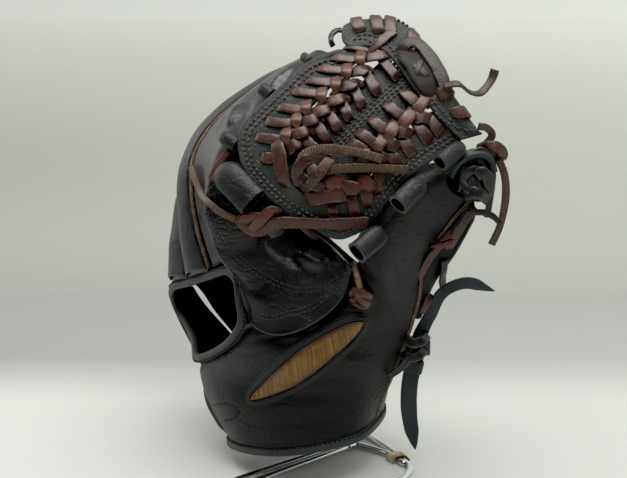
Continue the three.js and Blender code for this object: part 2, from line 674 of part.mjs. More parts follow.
// Lace wrapped over the web's outer edge, held by a run of lace behind it.
function edgeWraps() {
  const [inner, outer] = [WEB.top_inner, WEB.top_outer].map(drawn);
  const at = (t, s, lift) => {
    const p = mix(inner.getPoint(t), outer.getPoint(t), s);
    return webPoint(p.x, p.z, lift);
  };
  const front = 2 * LEATHER + 2 * GAP + LACE_T / 2 + 1;
  const back = LEATHER - LACE_T / 2 - 1.4;
  // Across the strip and off its leather: up the face, over the edge, down behind
  const over = [
    [0.5, front], [0.85, front], [1.2, front - 1], [1.22, back + 1], [0.92, back], [0.66, back],
  ];
  const runs = EDGE_WRAPS.map((t) => {
    const curve = fair(over.map(([s, lift]) => at(t, s, lift)));
    const along = at(t + 0.02, 0.8, 0).sub(at(t - 0.02, 0.8, 0));
    const facing = (u) => curve.getTangentAt(u).cross(along);
    return sweep(curve, flat(LACE_W, LACE_T), 5, facing);
  });
  const [first, last] = [0.18, 0.86];
  const stops = Array.from({ length: 9 }, (_, i) => at(first + ((last - first) * i) / 8, 0.72, back));
  runs.push(sweep(fair(stops), flat(4, LACE_T), 10, towardsThumb));
  return geometryOf(joined(runs));
}

// The keeper: a leather ring round the adjusting strap.
function keeper() {
  const [x, y, z] = KEEPER_AT;
  const room = GAP + 1.2;
  const [a, b] = [STRAP_W / 2 + room, STRAP_T / 2 + room];
  const swell = 0.3;
  const ring = [
    [a, b], [0, b + swell], [-a, b], [-a - swell, 0],
    [-a, -b], [0, -b - swell], [a, -b], [a + swell, 0],
  ];
  const curve = path(ring.map(([dx, dy]) => [x + dx, y + dy, z]), true);
  const facing = (t) => curve.getPointAt(t).sub(vec(KEEPER_AT));
  return sweep(curve, flat(KEEPER_W, KEEPER_T), 16, facing, { closed: true });
}

// The wire stand. Its feet lie on flats of the wire.
function stand() {
  const up = () => new THREE.Vector3(0, 0, 1);
  const foot = (rows) => sweep(path(rows), round(WIRE_R, 8), rows.length + 1, up);
  const hoop = sweep(path(STAND.hoop), round(WIRE_R, 8), 12, () => new THREE.Vector3(1, 0.1, 0));
  const feet = [STAND.left_foot, STAND.right_foot, STAND.right_brace, STAND.rear_foot];
  return geometryOf(joined([...feet.map(foot), hoop]));
}

// One row of lacing over a slot: a spine along the slot, and a strand out to every hole.
function lattice(spineRows, leftHoles, rightHoles, lastRun) {
  const low = LEATHER + GAP + LACE_T / 2;
  const spine = drawn(spineRows);
  const strand = ([x, z], t) => {
    const c = spine.getPoint(t);
    return webLace([[x, z, low + 0.4], [c.x, c.z, low + 1.3]], 1);
  };
  const runs = [webLace(spineRows.map(([x, z]) => [x, z, low + 1.8]), 10, 4)];
  runs.push(webLace(lastRun.map(([x, z]) => [x, z, low + 0.6]), 3));
  leftHoles.forEach((hole, i) => runs.push(strand(hole, (i + 0.5) / leftHoles.length)));
  rightHoles.forEach((hole, i) => runs.push(strand(hole, (i + 0.5) / rightHoles.length)));
  return geometryOf(joined(runs));
}

const thumb = thumbSurface();
const index = indexSurface();
const onThumb = placeOn(thumb);
const onIndex = placeOn(index);

add("thumb_back", wall(trimmed(thumb, SEAM_INSET, GAP), 9, 15), "black_leather");
add("index_back", wall(trimmed(index, SEAM_INSET, GAP), 9, 11), "black_leather");
add("middle_back", fingerBack(SEAM.middle_ring, SEAM.index_middle), "black_leather");
add("ring_back", fingerBack(SEAM.ring_little, SEAM.middle_ring), "black_leather");
add("little_back", littleBack(), "black_leather");
add("wrist_strap", wristStrap(), "black_leather");
const thumbFrontWall = wall(trimmed(thumbFront, SEAM_INSET), 8, 8, PALM_WALL);
add("palm", geometryOf(joined([palmSheet(), thumbFrontWall])), "black_leather");
add("wrist_binding", binding(RIM, [0, 8]), "black_leather");
add("window_binding", binding(WINDOW, [-20, 20]), "black_leather");
add("thumb_welt", welt(SEAM.thumb_welt, 16, [20, 20, 100]), "welt_tan");
add("index_middle_welt", welt(SEAM.index_middle, 15, [10, 30, 120]), "welt_tan");
add("middle_ring_welt", welt(SEAM.middle_ring, 15, [10, 30, 120]), "welt_tan");
add("ring_little_welt", welt(SEAM.ring_little, 15, [10, 30, 120]), "welt_tan");

add("web_frame", webBand(WEB.frame_inner, WEB.frame_outer, 3, 32, LEATHER), "black_leather");
add("web_tongue", webBand(WEB.tongue_right, WEB.tongue_left, 3, 10, -GAP), "black_leather");
add("web_top_strip", webBand(WEB.top_outer, WEB.top_inner, 3, 14, 2 * LEATHER + GAP), "black_leather");
add(
  "lattice_upper",
  lattice(WEB.spine_upper, WEB.holes_upper_left, WEB.holes_upper_right, [[-14, 220], [-17, 199]]),
  "brown_lace",
);
add(
  "lattice_lower",
  lattice(WEB.spine_lower, WEB.holes_lower_left, WEB.holes_lower_right, [[20, 194], [-5, 190]]),
  "brown_lace",
);
add("web_edge_lace", edgeWraps(), "brown_lace");

const webKnot = [
  webLace(WEB_TAILS[0], 9, THIN_LACE_W),
  webLace(WEB_TAILS[1], 9, THIN_LACE_W),
  knot(webPoint(2, 204, 9), [11, 6, 9]),
];
add("web_knot", geometryOf(joined(webKnot)), "brown_lace");
const rimLace = [webLace(RIM_RUN, 8, THIN_LACE_W), airLace(RIM_TAIL, 8, THIN_LACE_W, [0, -0.6, 0.8])];
add("web_rim_lace", geometryOf(joined(rimLace)), "brown_lace");
for (const [name, row] of Object.entries(TABS)) add(name, tab(row), "black_lace");

const knotted = [
  lyingLace(onIndex, KNOTTED_LACE, 12, 5),
  lyingLace(webPoint, KNOTTED_TAIL, 8, 6.5),
  knot(onIndex(-34, 172, 4.6), [12, 4, 7]),
];
add("index_knotted_lace", geometryOf(joined(knotted)), "brown_lace");
const pin = [lyingLace(onThumb, THUMB_PIN, 5, 4), knot(onThumb(30, 125, 4), [4.6, 3, 4.6])];
add("thumb_pin_lace", geometryOf(joined(pin)), "brown_lace");
add("thumb_emblem", patch(onThumb, EMBLEM), "gold_thread");

add("thumb_long_lace", airLace(LONG_LACE, 22, 4.4), "brown_lace");
add(
  "thumb_black_lace",
  geometryOf(joined([airLace(BLACK_LACE, 12, 3.8), airLace(BLACK_CURL, 5, 3.8)])),
  "black_lace",
);
add("thumb_tip_knot", knot(new THREE.Vector3(94.2, -60, 199.8), [6.5, 6, 8]), "black_lace");
const sideRun = SIDE_LACE.map(([s, t, lift]) => onThumbFront(s, t, lift).toArray());
add("thumb_side_lace", airLace(sideRun, 12, 5, [0.6, -0.8, 0]), "brown_lace");
add("thumb_side_strap", airLace(SIDE_STRAP, 7, 5, [0.6, -0.8, 0]), "black_lace");
add("heel_lace", airLace(HEEL_LACE, 6, 5, [0.5, -0.8, 0]), "black_lace");
const strap = sweep(path(ADJUSTING_STRAP), flat(STRAP_W, STRAP_T), 20, towardsThumb, {
  scale: profile(STRAP_WIDTHS),
});
add("adjusting_strap", strap, "black_lace");
add("strap_keeper", keeper(), "black_lace");
add("wrist_strap_lace", airLace(STRAP_LACE, 6, 5, [-1, -0.1, 0]), "black_lace");
add("wire_stand", stand(), "chrome");
add("stand_tape", airLace(TAPE, 8, TAPE_W, [0, 0, 1], TAPE_T), "tape");

// The origin is on the floor, below the middle of the whole.
const middle = new THREE.Box3().setFromObject(glove, true).getCenter(new THREE.Vector3());
glove.position.set(-middle.x, -middle.y, 0);
const part = new THREE.Group();
part.add(glove);

export default part;
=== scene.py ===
# A left-hand baseball pitcher's glove on its wire display stand.
# Shapes are worked out in millimetres in the frame of the tables, whose floor is z = 0, and turned
# into metres when a mesh is built. The thumb side faces -Y, the palm +X, the back of the hand -X.
import math

import bpy
import numpy as np
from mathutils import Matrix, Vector, noise
from mathutils.bvhtree import BVHTree


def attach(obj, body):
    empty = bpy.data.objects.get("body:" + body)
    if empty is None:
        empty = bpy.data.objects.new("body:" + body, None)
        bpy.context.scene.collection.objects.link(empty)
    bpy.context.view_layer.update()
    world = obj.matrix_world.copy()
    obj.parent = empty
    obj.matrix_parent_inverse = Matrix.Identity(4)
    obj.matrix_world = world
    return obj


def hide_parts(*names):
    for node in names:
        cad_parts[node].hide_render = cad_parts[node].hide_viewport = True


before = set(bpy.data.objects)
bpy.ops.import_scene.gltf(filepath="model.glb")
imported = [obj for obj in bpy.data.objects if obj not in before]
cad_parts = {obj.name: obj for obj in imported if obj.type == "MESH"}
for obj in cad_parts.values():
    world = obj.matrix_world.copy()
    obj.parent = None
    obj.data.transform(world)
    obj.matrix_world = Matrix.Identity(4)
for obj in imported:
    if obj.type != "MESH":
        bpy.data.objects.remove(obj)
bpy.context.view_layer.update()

# Driving dimensions, in millimetres, as in the part's source
MM = 0.001  # one of them in metres
MIDDLE = np.array([7.729, 13.622, 0.0])  # middle of the whole, in the tables' frame
LEATHER = 2.4
PALM_WALL = 3.2
SEAM_INSET = 1.7  # how far the leather stops short of a seam
GAP = 0.35  # between two layers
LAP = 1.2  # how far the leather runs on into the wrist binding
BINDING_W = 6.0
BINDING_T = 4.6
LACE_W = 6.0
LACE_T = 2.0
STRAP_W = 11.0
STRAP_T = 2.2
KEEPER_W = 10.0
KEEPER_T = 1.8
WIRE_R = 2.2
FLOOR = WIRE_R * math.cos(math.pi / 8)  # the wire's middle over the table
STITCH = 3.0  # one stitch and its gap
THREAD = 0.85

rng = np.random.default_rng(7)


# The photograph's view, in millimetres and degrees
VIEW_TARGET = np.array([0.0, 0.0, 152.0])
VIEW_ELEVATION = math.radians(10)
VIEW_DISTANCE = 850.0
PHOTO_W, PHOTO_H = 627, 478
FOCAL_PX = 1288.0
SENSOR = 36.0
VIEW_AHEAD = np.array([0.0, math.cos(VIEW_ELEVATION), -math.sin(VIEW_ELEVATION)])
VIEW_UP = np.array([0.0, math.sin(VIEW_ELEVATION), math.cos(VIEW_ELEVATION)])
EYE = VIEW_TARGET - VIEW_DISTANCE * VIEW_AHEAD


def sight(u, v):
    """The direction from the eye through a pixel of the photograph."""
    right, up = (u - PHOTO_W / 2) / FOCAL_PX, (PHOTO_H / 2 - v) / FOCAL_PX
    d = VIEW_AHEAD + up * VIEW_UP + right * np.array([1.0, 0, 0])
    return d / np.linalg.norm(d)


def seen_at(u, v, y):
    """The point at depth y that a pixel shows."""
    d = sight(u, v)
    return EYE + d * (y - EYE[1]) / d[1]


def seen(marks):
    """Points in space from pixels with depths."""
    return [seen_at(*mark) for mark in marks]


# Seams of the shell. Columns: x, y, z, from the wrist to the fingertips.
SEAM = {
    "thumb_welt": [
        [40, -18, 34], [43, -21, 44], [46, -23, 53], [49.5, -26, 62], [52, -28, 70],
        [54.5, -29, 77], [57, -31, 84], [59.5, -32, 92], [62, -34, 100], [64.5, -36, 110],
        [67, -40, 122], [68, -44, 138], [74, -47, 154], [85, -51, 172], [97, -52, 186],
    ],
    "thumb_free_edge": [
        [-57, 2, 17], [-68, 5, 34], [-75, 6, 50], [-77, 6, 64], [-62, -18, 75],
        [-47, -40, 90], [-41, -46, 103], [-23, -48, 110], [0, -49, 119], [17, -45, 134],
        [28, -45, 148], [32, -55, 161], [45, -61.5, 184], [64, -63.5, 203], [97, -56, 214],
    ],
    "index_edge": [
        [26, -60, 146], [13, -52, 159], [-6, -50, 172], [-20, -50, 189],
        [-26, -47, 211], [-17, -41, 236], [0, -31, 259], [14, -17, 273],
    ],
    "index_middle": [
        [-68, -15, 135], [-76, -8, 160], [-80, 0, 184], [-79, 5, 206],
        [-70, 8, 226], [-54, 10, 242], [-30, 10, 258], [-2, 8, 272],
    ],
    "middle_ring": [
        [-86, 15, 124], [-92, 24, 147], [-95, 32, 168], [-92, 38, 190],
        [-83, 42, 209], [-66, 44, 227], [-42, 45, 243], [-14, 42, 257],
    ],
    "ring_little": [
        [-100, 49, 114], [-102, 57, 138], [-102, 63, 158], [-98, 69, 178],
        [-88, 74, 196], [-72, 78, 212], [-50, 80, 227], [-24, 77, 240],
    ],
    "little_edge": [
        [16, 60, 32], [6, 70, 56], [-8, 82, 78], [-24, 92, 96], [-40, 102, 112],
        [-53, 110, 130], [-63, 116, 150], [-70, 120, 170], [-70, 121, 190], [-60, 119, 207],
        [-45, 114, 220], [-28, 106, 229],
    ],
    "strap_far_edge": [
        [-24, 59, 26], [-42, 72, 45], [-60, 81, 66], [-76, 86, 84], [-89, 84, 102],
    ],
    "strap_near_edge": [
        [-59, 5, 17], [-70, 8, 34], [-77, 9, 50], [-80, 12, 63], [-84, 34, 68],
        [-91, 54, 73], [-99, 68, 83], [-104, 72, 96], [-105, 69, 107],
    ],
}
HEEL_TO_SEAM = [
    [-20, 60, 27], [-39, 74, 45], [-59, 82, 66], [-75, 88, 84], [-84, 88, 98], [-93, 78, 110],
    [-100, 62, 117],
]
SEAM["heel_edge"] = HEEL_TO_SEAM + SEAM["ring_little"][1:]

# Lines of the front leather from the wrist to the fingertips, row for row
PALM = [
    [
        [41, -16, 35], [49.5, -22, 60], [56, -27, 82], [61.5, -31, 102], [54, -38, 126],
        [30, -46, 143], [9, -44, 160], [-9, -46, 178], [-19, -46, 199], [-20, -43, 222],
        [-6, -34, 246], [12, -16, 268],
    ],
    [
        [47, -2, 35], [51, -8, 58], [51, -12, 80], [46, -14, 102], [28, -12, 122],
        [-2, -4, 140], [-30, 3, 156], [-52, 7, 174], [-66, 10, 192], [-67, 12, 213],
        [-46, 14, 238], [-1, 11, 263],
    ],
    [
        [47, 17, 36], [49, 20, 58], [46, 22, 80], [36, 24, 101], [14, 26, 119],
        [-18, 28, 134], [-46, 33, 148], [-66, 38, 163], [-79, 43, 181], [-78, 46, 200],
        [-59, 48, 222], [-13, 44, 246],
    ],
    [
        [39, 38, 36], [39, 43, 57], [32, 50, 79], [18, 56, 99], [-4, 62, 115],
        [-32, 67, 127], [-58, 71, 140], [-76, 74, 155], [-86, 77, 171], [-83, 80, 189],
        [-66, 83, 208], [-24, 80, 230],
    ],
    [
        [16, 60, 32], [6, 70, 56], [-8, 82, 78], [-24, 92, 96], [-40, 102, 112],
        [-53, 109, 130], [-62, 114, 150], [-68, 118, 170], [-68, 119, 189], [-58, 117, 205],
        [-44, 110, 217], [-25, 102, 222],
    ],
]

# Openings' edges. Columns: x, y, z, along the middle of the binding.
RIM = [
    [-57, 4, 13], [-46, -27, 17], [-22, -45, 21], [7, -49, 26], [29, -39, 29], [41, -17, 31],
    [47.5, 10, 33], [39, 40, 32], [16, 60, 28], [-15, 60, 22], [-43, 40, 15],
]
WINDOW = [
    [-46, -49, 122], [-45, -49, 108], [-50, -44, 97], [-63, -21, 81], [-79, 8, 69], [-83, 33, 74],
    [-89, 53, 79], [-97, 66, 88], [-101, 66, 100], [-98, 46, 110], [-84, 14, 120], [-67, -16, 131],
    [-54, -37, 138], [-48, -46, 134],
]
THUMB_NOTCH = [[97, -56, 214], [87, -65, 208], [81, -69, 201], [86, -62, 192], [97, -52, 186]]
KNUCKLE_SEAM = [
    [-68, -15, 135], [-49, -42, 144], [-42, -51, 133], [-39, -57, 119], [-38, -60, 108],
    [-22, -67, 103], [0, -69, 111], [18, -67, 127], [26, -60, 146],
]

# Lines of the thumb's front leather, each from the heel to the thumb's tip
THUMB_FRONT = [
    [
        [64, -31, 103], [66, -35, 119], [68, -42, 134], [71, -45, 149], [80, -49, 165],
        [88, -50, 177], [93, -49, 185],
    ],
    [
        [69, -28, 103], [73, -31, 118], [79, -34, 132], [89, -37, 148], [97, -39, 163],
        [101, -42, 173], [99, -47, 183],
    ],
    [
        [51, -26, 121], [53, -31, 136], [58, -34, 149], [66, -39, 164], [76, -44, 181],
        [89, -47, 195], [98, -49, 198],
    ],
    [
        [35, -41, 132], [32, -44, 147], [34, -48, 161], [41, -52, 174], [52, -55.5, 187],
        [70, -57, 202], [96, -53, 212],
    ],
]

# Edges and lace holes of the web. Columns: x, z, on the bowl of web_point.
WEB = {
    "frame_outer": [
        [14, 275], [-2, 269], [-14, 259], [-25, 249], [-37, 238], [-44, 230], [-46, 221],
        [-45, 213], [-41, 203], [-30, 191], [-18, 181], [1, 170], [10, 165], [17, 164],
        [23, 166], [32, 171], [39, 178], [45, 187], [52, 196], [63, 206], [78, 216], [89, 222],
    ],
    "frame_inner": [
        [36, 278], [29, 271], [20, 262], [10, 253], [2, 245], [-7, 236], [-14, 230],
        [-18, 222], [-20, 212], [-16, 202], [-8, 194], [3, 188], [9, 187], [15, 187],
        [20, 189], [25, 194], [31, 200], [38, 207], [46, 215], [56, 225], [67, 235], [76, 244],
    ],
    "tongue_left": [
        [44, 273], [36, 266], [30, 259], [23, 253], [16, 247], [10, 241], [4, 234], [-4, 226],
        [-11, 219], [-19, 211], [-25, 204],
    ],
    "tongue_right": [
        [70, 249], [61, 241], [55, 236], [50, 231], [43, 225], [37, 219], [30, 212], [24, 206],
        [16, 199], [8, 191], [0, 184],
    ],
    "top_outer": [
        [11, 277], [20, 288], [36, 292], [54, 290], [68, 276], [80, 254], [93, 235], [100, 226],
    ],
    "top_inner": [
        [17, 270], [25, 275], [41, 274], [50, 266], [58, 255], [66, 245], [75, 235], [87, 223],
    ],
    "spine_upper": [[34, 269], [26, 262], [13, 250], [1, 238], [-9, 227], [-14, 216]],
    "spine_lower": [[63, 237], [57, 232], [50, 226], [38, 213], [28, 203], [18, 194]],
}

# Curves and surfaces

def unit(v):
    return v / np.maximum(np.linalg.norm(v, axis=-1, keepdims=True), 1e-12)


def catmull(points, t, closed=False):
    """A centripetal Catmull-Rom curve at each t from 0 to 1. Points are (n, 3), or (n, m, 3) for m curves."""
    points = np.asarray(points, float)
    t = np.atleast_1d(np.asarray(t, float))
    n = len(points)
    each = np.arange(len(t))
    pick = (lambda k: points[k]) if points.ndim == 2 else (lambda k: points[k, each])
    p = (n - (0 if closed else 1)) * t
    i = np.floor(p).astype(int)
    if not closed:
        i = np.clip(i, 0, n - 2)
    w = (p - i)[:, None]
    if closed:
        i = i % n
    a, b = pick(i), pick((i + 1) % n)
    before, after = pick((i - 1) % n), pick((i + 2) % n)
    if not closed:
        before = np.where((i == 0)[:, None], 2 * a - b, before)
        after = np.where((i == n - 2)[:, None], 2 * b - a, after)
    gaps = [np.sqrt(np.linalg.norm(q - r, axis=1))[:, None] for q, r in ((a, before), (b, a), (after, b))]
    g1 = np.where(gaps[1] < 1e-4, 1.0, gaps[1])
    g0 = np.where(gaps[0] < 1e-4, g1, gaps[0])
    g2 = np.where(gaps[2] < 1e-4, g1, gaps[2])
    ta = ((a - before) / g0 - (b - before) / (g0 + g1) + (b - a) / g1) * g1
    tb = ((b - a) / g1 - (after - a) / (g1 + g2) + (after - b) / g2) * g1
    return a + ta * w + (-3 * a + 3 * b - 2 * ta - tb) * w**2 + (2 * a - 2 * b + ta + tb) * w**3


def length_of(line):
    return np.linalg.norm(np.diff(line, axis=0), axis=1).sum()


def distances(line):
    """How far along a line each of its points lies."""
    return np.concatenate([[0], np.cumsum(np.linalg.norm(np.diff(line, axis=0), axis=1))])


def read_at(at, along, values):
    """Rows of values that belong to distances along a line, read at other distances."""
    return np.stack([np.interp(at, along, values[:, k]) for k in range(values.shape[1])], axis=1)


def resampled(line, step=None, count=None, closed=False):
    """A dense line again with evenly spaced points, a step or a count of spans apart."""
    if closed:
        line = np.vstack([line, line[:1]])
    along = distances(line)
    spans = count or max(2, int(round(along[-1] / step)))
    at = np.linspace(0, along[-1], spans + 1)
    if closed:
        at = at[:-1]
    return read_at(at, along, line)


def smooth_line(rows, step=1.0, closed=False):
    """Evenly spaced points of the smooth curve through rows."""
    dense = catmull(rows, np.linspace(0, 1, 60 * len(rows) + 1), closed)
    return resampled(dense[:-1] if closed else dense, step, closed=closed)


def seam(rows):
    """A seam as a function of t from 0 to 1."""
    return lambda t: catmull(rows, t)


def profile(values):
    """Heights read from a short list, evenly spaced over t from 0 to 1."""
    values = np.asarray(values, float)

    def read(t):
        x = np.clip(t, 0, 1) * (len(values) - 1)
        i = np.minimum(np.floor(x).astype(int), len(values) - 2)
        f = x - i
        return values[i] + (values[i + 1] - values[i]) * f * f * (3 - 2 * f)

    return read


# The fingers past the index curl in towards the palm, by distances evenly spaced over their height.
CURL = [0, 5, 11, 14.5, 14.5, 13, 11.5, 9, 0]
CURL_FROM_Y, CURL_TO_Y = 4, 16
CURL_FROM_Z, CURL_TO_Z = 120, 270


def curled(rows):
    """Rows of a line, curled in where they belong to the fingers past the index."""
    x, y, z = np.array(rows, float).T
    inwards = profile([0, 1])((y - CURL_FROM_Y) / (CURL_TO_Y - CURL_FROM_Y))
    distance = profile(CURL)((z - CURL_FROM_Z) / (CURL_TO_Z - CURL_FROM_Z))
    return np.stack([x + inwards * distance, y, z], axis=1)


for name in SEAM:
    if not name.startswith("thumb"):
        SEAM[name] = curled(SEAM[name])
PALM = [curled(rows) for rows in PALM]


def column(x):
    """Numbers as a column, one for each row of points."""
    return np.asarray(x)[..., None]


def coons(bottom, top, left, right):
    """A surface between four seams, blended so that it passes through all of them."""
    ends = np.array([0.0, 1.0])
    (l0, l1), (r0, r1) = left(ends), right(ends)

    def surface(s, t):
        a, b = column(s), column(t)
        p = bottom(s) * (1 - b) + top(s) * b + left(t) * (1 - a) + right(t) * a
        return p - l0 * (1 - a) * (1 - b) - r0 * a * (1 - b) - l1 * (1 - a) * b - r1 * a * b

    return surface


def loft(tables):
    """A surface through neighbouring lines."""
    return lambda s, t: catmull(np.stack([catmull(rows, t) for rows in tables]), s)


def normal_at(surface, s, t, d=0.01):
    across = surface(np.minimum(s + d, 1), t) - surface(np.maximum(s - d, 0), t)
    up = surface(s, np.minimum(t + d, 1)) - surface(s, np.maximum(t - d, 0))
    return unit(np.cross(across, up))


def swelled(surface, height, fullness=1.0):
    """A surface swelled outwards by height(t), most in the middle of each rib."""

    def fuller(s, t):
        rise = height(t) * np.maximum(np.sin(np.pi * s), 0) ** fullness
        return surface(s, t) + column(rise) * normal_at(surface, np.full_like(s, 0.5), t)

    return fuller


def trimmed(surface, side, end=None):
    """A surface held short of its seams by an inset in millimetres, measured along each row."""
    end = side if end is None else end

    def shorter(s, t):
        zero, one = np.zeros_like(s), np.ones_like(s)
        ds = side / np.linalg.norm(surface(one, t) - surface(zero, t), axis=1)
        dt = end / np.linalg.norm(surface(s, one) - surface(s, zero), axis=1)
        ds, dt = np.minimum(ds, 0.3), np.minimum(dt, 0.3)
        return surface(ds + (1 - 2 * ds) * s, dt + (1 - 2 * dt) * t)

    return shorter


def straight(a, b):
    return lambda s: a + (b - a) * column(s)


def end_of(curve, t):
    return curve(np.full(1, t))[0]


def between_ends(left, right):
    """Straight bottom and top edges between two seams."""
    return [straight(end_of(left, t), end_of(right, t)) for t in (0.0, 1.0)]


def rim_between(first, last, left, right):
    """The wrist rim between two rows of its table, lifted on to the binding, fitted to two seams' ends."""

    def lifted(s):
        p = catmull(RIM, (first + (last - first) * np.asarray(s)) / len(RIM), True)
        return p + np.array([0, 0, BINDING_W / 2 + GAP])

    da, db = end_of(left, 0.0) - end_of(lifted, 0.0), end_of(right, 0.0) - end_of(lifted, 1.0)
    return lambda s: lifted(s) + da + (db - da) * column(s) - np.array([0, 0, GAP + LAP])


# Meshes

FINE_STEP, STEP = 0.7, 0.8  # from one ring of a lace to the next, on the leather and off it
MARKS = ("across", "along", "top", "shade", "edge")


class Soup:
    """Points and faces gathered for one piece, with a few marks on each point for its material."""

    def __init__(self):
        self.points, self.quads, self.tris, self.marks = [], [], [], []
        self.count = 0

    def add(self, points, quads=(), tris=(), **marks):
        n = len(points)
        self.points.append(points)
        if len(quads):
            self.quads.append(np.asarray(quads) + self.count)
        if len(tris):
            self.tris.append(np.asarray(tris) + self.count)
        self.marks.append(np.stack([np.broadcast_to(marks.get(m, 0.0), n) for m in MARKS], axis=1))
        self.count += n

    def build(self, name, material, slot, nodes=(), lining=None):
        points = (np.concatenate(self.points) - MIDDLE) * MM
        groups = [g for g in (self.quads, self.tris) if g]
        faces = [np.concatenate(g) for g in groups]
        mesh = bpy.data.meshes.new(name)
        mesh.vertices.add(len(points))
        mesh.vertices.foreach_set("co", points.ravel())
        corners = np.concatenate([f.ravel() for f in faces])
        sizes = np.concatenate([np.full(len(f), f.shape[1]) for f in faces])
        mesh.loops.add(len(corners))
        mesh.loops.foreach_set("vertex_index", corners.astype(np.int32))
        mesh.polygons.add(len(sizes))
        starts = np.concatenate([[0], np.cumsum(sizes)[:-1]])
        mesh.polygons.foreach_set("loop_start", starts.astype(np.int32))
        mesh.polygons.foreach_set("use_smooth", np.ones(len(sizes), bool))
        marks = np.concatenate(self.marks)
        for k, mark in enumerate(MARKS):
            if np.any(marks[:, k]):
                layer = mesh.attributes.new(mark, "FLOAT", "POINT")
                layer.data.foreach_set("value", marks[:, k].astype(np.float32))
        mesh.materials.append(material)
        if lining is not None:
            mesh.materials.append(lining[0])
            mesh.polygons.foreach_set("material_index", lining[1].astype(np.int32))
        mesh.update()
        mesh.validate()
        piece = bpy.data.objects.new(name, mesh)
        bpy.context.collection.objects.link(piece)
        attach(piece, "root")
        if nodes:
            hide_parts(*nodes)
        return piece


def grid_quads(rows, cols, start=0, flip=False):
    """Quads of a grid of points, row by row."""
    i, j = np.meshgrid(np.arange(rows - 1), np.arange(cols - 1), indexing="ij")
    a = (start + i * cols + j).ravel()
    q = np.stack([a, a + 1, a + cols + 1, a + cols], axis=1)
    return q[:, ::-1] if flip else q


def border(rows, cols):
    """Indices round a grid's border, in order."""
    top = np.arange(cols)
    right = np.arange(1, rows) * cols + cols - 1
    bottom = (rows - 1) * cols + np.arange(cols - 2, -1, -1)
    left = np.arange(rows - 2, 0, -1) * cols
    return np.concatenate([top, right, bottom, left])


def steps_between(length, spacing, rounding):
    """Places from 0 to 1 along a panel, closer together where its edges turn over."""
    near = np.array([0, 0.12, 0.4, 0.8, 1.2]) * rounding / length
    inner = np.linspace(near[-1], 1 - near[-1], max(3, int(length / spacing)))
    return np.concatenate([near[:-1], inner, 1 - near[:-1][::-1]])


LUMP_SIZE = 17.0  # from one slow rise of the leather to the next, or so
RELIEF_FADE = 2.5  # how far from a panel's edge its relief is flattened


class Panel:
    """A leather wall whose outer face is a surface, its thickness laid inwards and its edges rounded."""

    def __init__(self, surface, thickness=LEATHER, spacing=1.5, relief=None, creases=0.3):
        mid = np.linspace(0, 1, 15)
        half, one = np.full(15, 0.5), np.ones(15)
        wide = length_of(surface(mid, half))
        tall = max(length_of(surface(half, mid)), length_of(surface(one, mid)))
        s, t = steps_between(wide, spacing, thickness / 2), steps_between(tall, spacing, thickness / 2)
        self.rows, self.cols = len(t), len(s)
        self.s, self.t = (g.ravel() for g in np.meshgrid(s, t))
        base = surface(self.s, self.t)
        self.normals = normal_at(surface, self.s, self.t)
        self.thickness = thickness
        self.edge = self.edge_distance(base)
        rise = creases * lumps(base, LUMP_SIZE)
        if relief is not None:
            rise = rise + relief(self, base)
        fade = np.clip(self.edge / RELIEF_FADE, 0, 1)
        self.outer = base + self.normals * column(rise * fade)
        self.base = base
        self.tree = BVHTree.FromPolygons(self.outer.tolist(), grid_quads(self.rows, self.cols).tolist())

    def edge_distance(self, p):
        g = p.reshape(self.rows, self.cols, 3)
        across = np.linalg.norm(np.diff(g, axis=1), axis=2)
        up = np.linalg.norm(np.diff(g, axis=0), axis=2)
        x = np.concatenate([np.zeros((self.rows, 1)), np.cumsum(across, axis=1)], axis=1)
        y = np.concatenate([np.zeros((1, self.cols)), np.cumsum(up, axis=0)], axis=0)
        return np.minimum.reduce([x, x[:, -1:] - x, y, y[-1:] - y]).ravel()

    def at(self, u, v, lift=0.0):
        """The place on the leather that a pixel of the photograph shows, and its normal."""
        d = sight(u, v)
        hit, normal, _, _ = self.tree.ray_cast(Vector(EYE), Vector(d))
        if hit is None:
            hit, normal, _, _ = self.tree.find_nearest(Vector(EYE + d * VIEW_DISTANCE))
        n = np.array(normal)
        n = n if n @ d < 0 else -n
        return np.array(hit) + n * lift, n

    def snapped(self, points):
        """The nearest places on the leather to some points, with their normals."""
        hits, normals = [], []
        for p in points:
            hit, normal, _, _ = self.tree.find_nearest(Vector(p))
            hits.append(hit)
            normals.append(normal)
        n = np.array(normals)
        n *= np.sign(np.sum(n * self.normals[self.nearest(points)], axis=1))[:, None]
        return np.array(hits), n

    def nearest(self, points):
        far = ((self.base[None, ::3] - np.asarray(points)[:, None]) ** 2).sum(2)
        return far.argmin(1) * 3

    def line(self, pixels):
        """A smooth line on the leather through pixels of the photograph."""
        return self.snapped(smooth_line([self.at(u, v)[0] for u, v in pixels]))

    def soup(self):
        """The closed wall: outer face, rounded edge, inner face."""
        half = self.thickness / 2
        turn = np.clip(self.edge / half, 0, 1)
        drop = half - np.sqrt(np.maximum(half**2 - (half * (1 - turn)) ** 2, 0))
        outer = self.outer - self.normals * column(drop)
        inner = self.base - self.normals * column(self.thickness - drop)
        n = len(outer)
        soup = Soup()
        ring = border(self.rows, self.cols)
        turned = np.roll(ring, -1)
        rim = np.stack([ring + n, turned + n, turned, ring], axis=1)
        quads = np.concatenate([
            grid_quads(self.rows, self.cols),
            grid_quads(self.rows, self.cols, n, flip=True),
            rim,
        ])
        edge = np.concatenate([self.edge, self.edge])
        soup.add(np.concatenate([outer, inner]), quads, edge=np.minimum(edge, 20.0))
        face = len(quads)
        self.inside = np.zeros(face)
        self.inside[(self.rows - 1) * (self.cols - 1): 2 * (self.rows - 1) * (self.cols - 1)] = 1
        return soup


def lumps(points, size):
    """Slow unevenness of the leather, from -1 to 1 or so."""
    return np.array([noise.fractal(Vector(p / size), 1.0, 2.0, 3) for p in points])


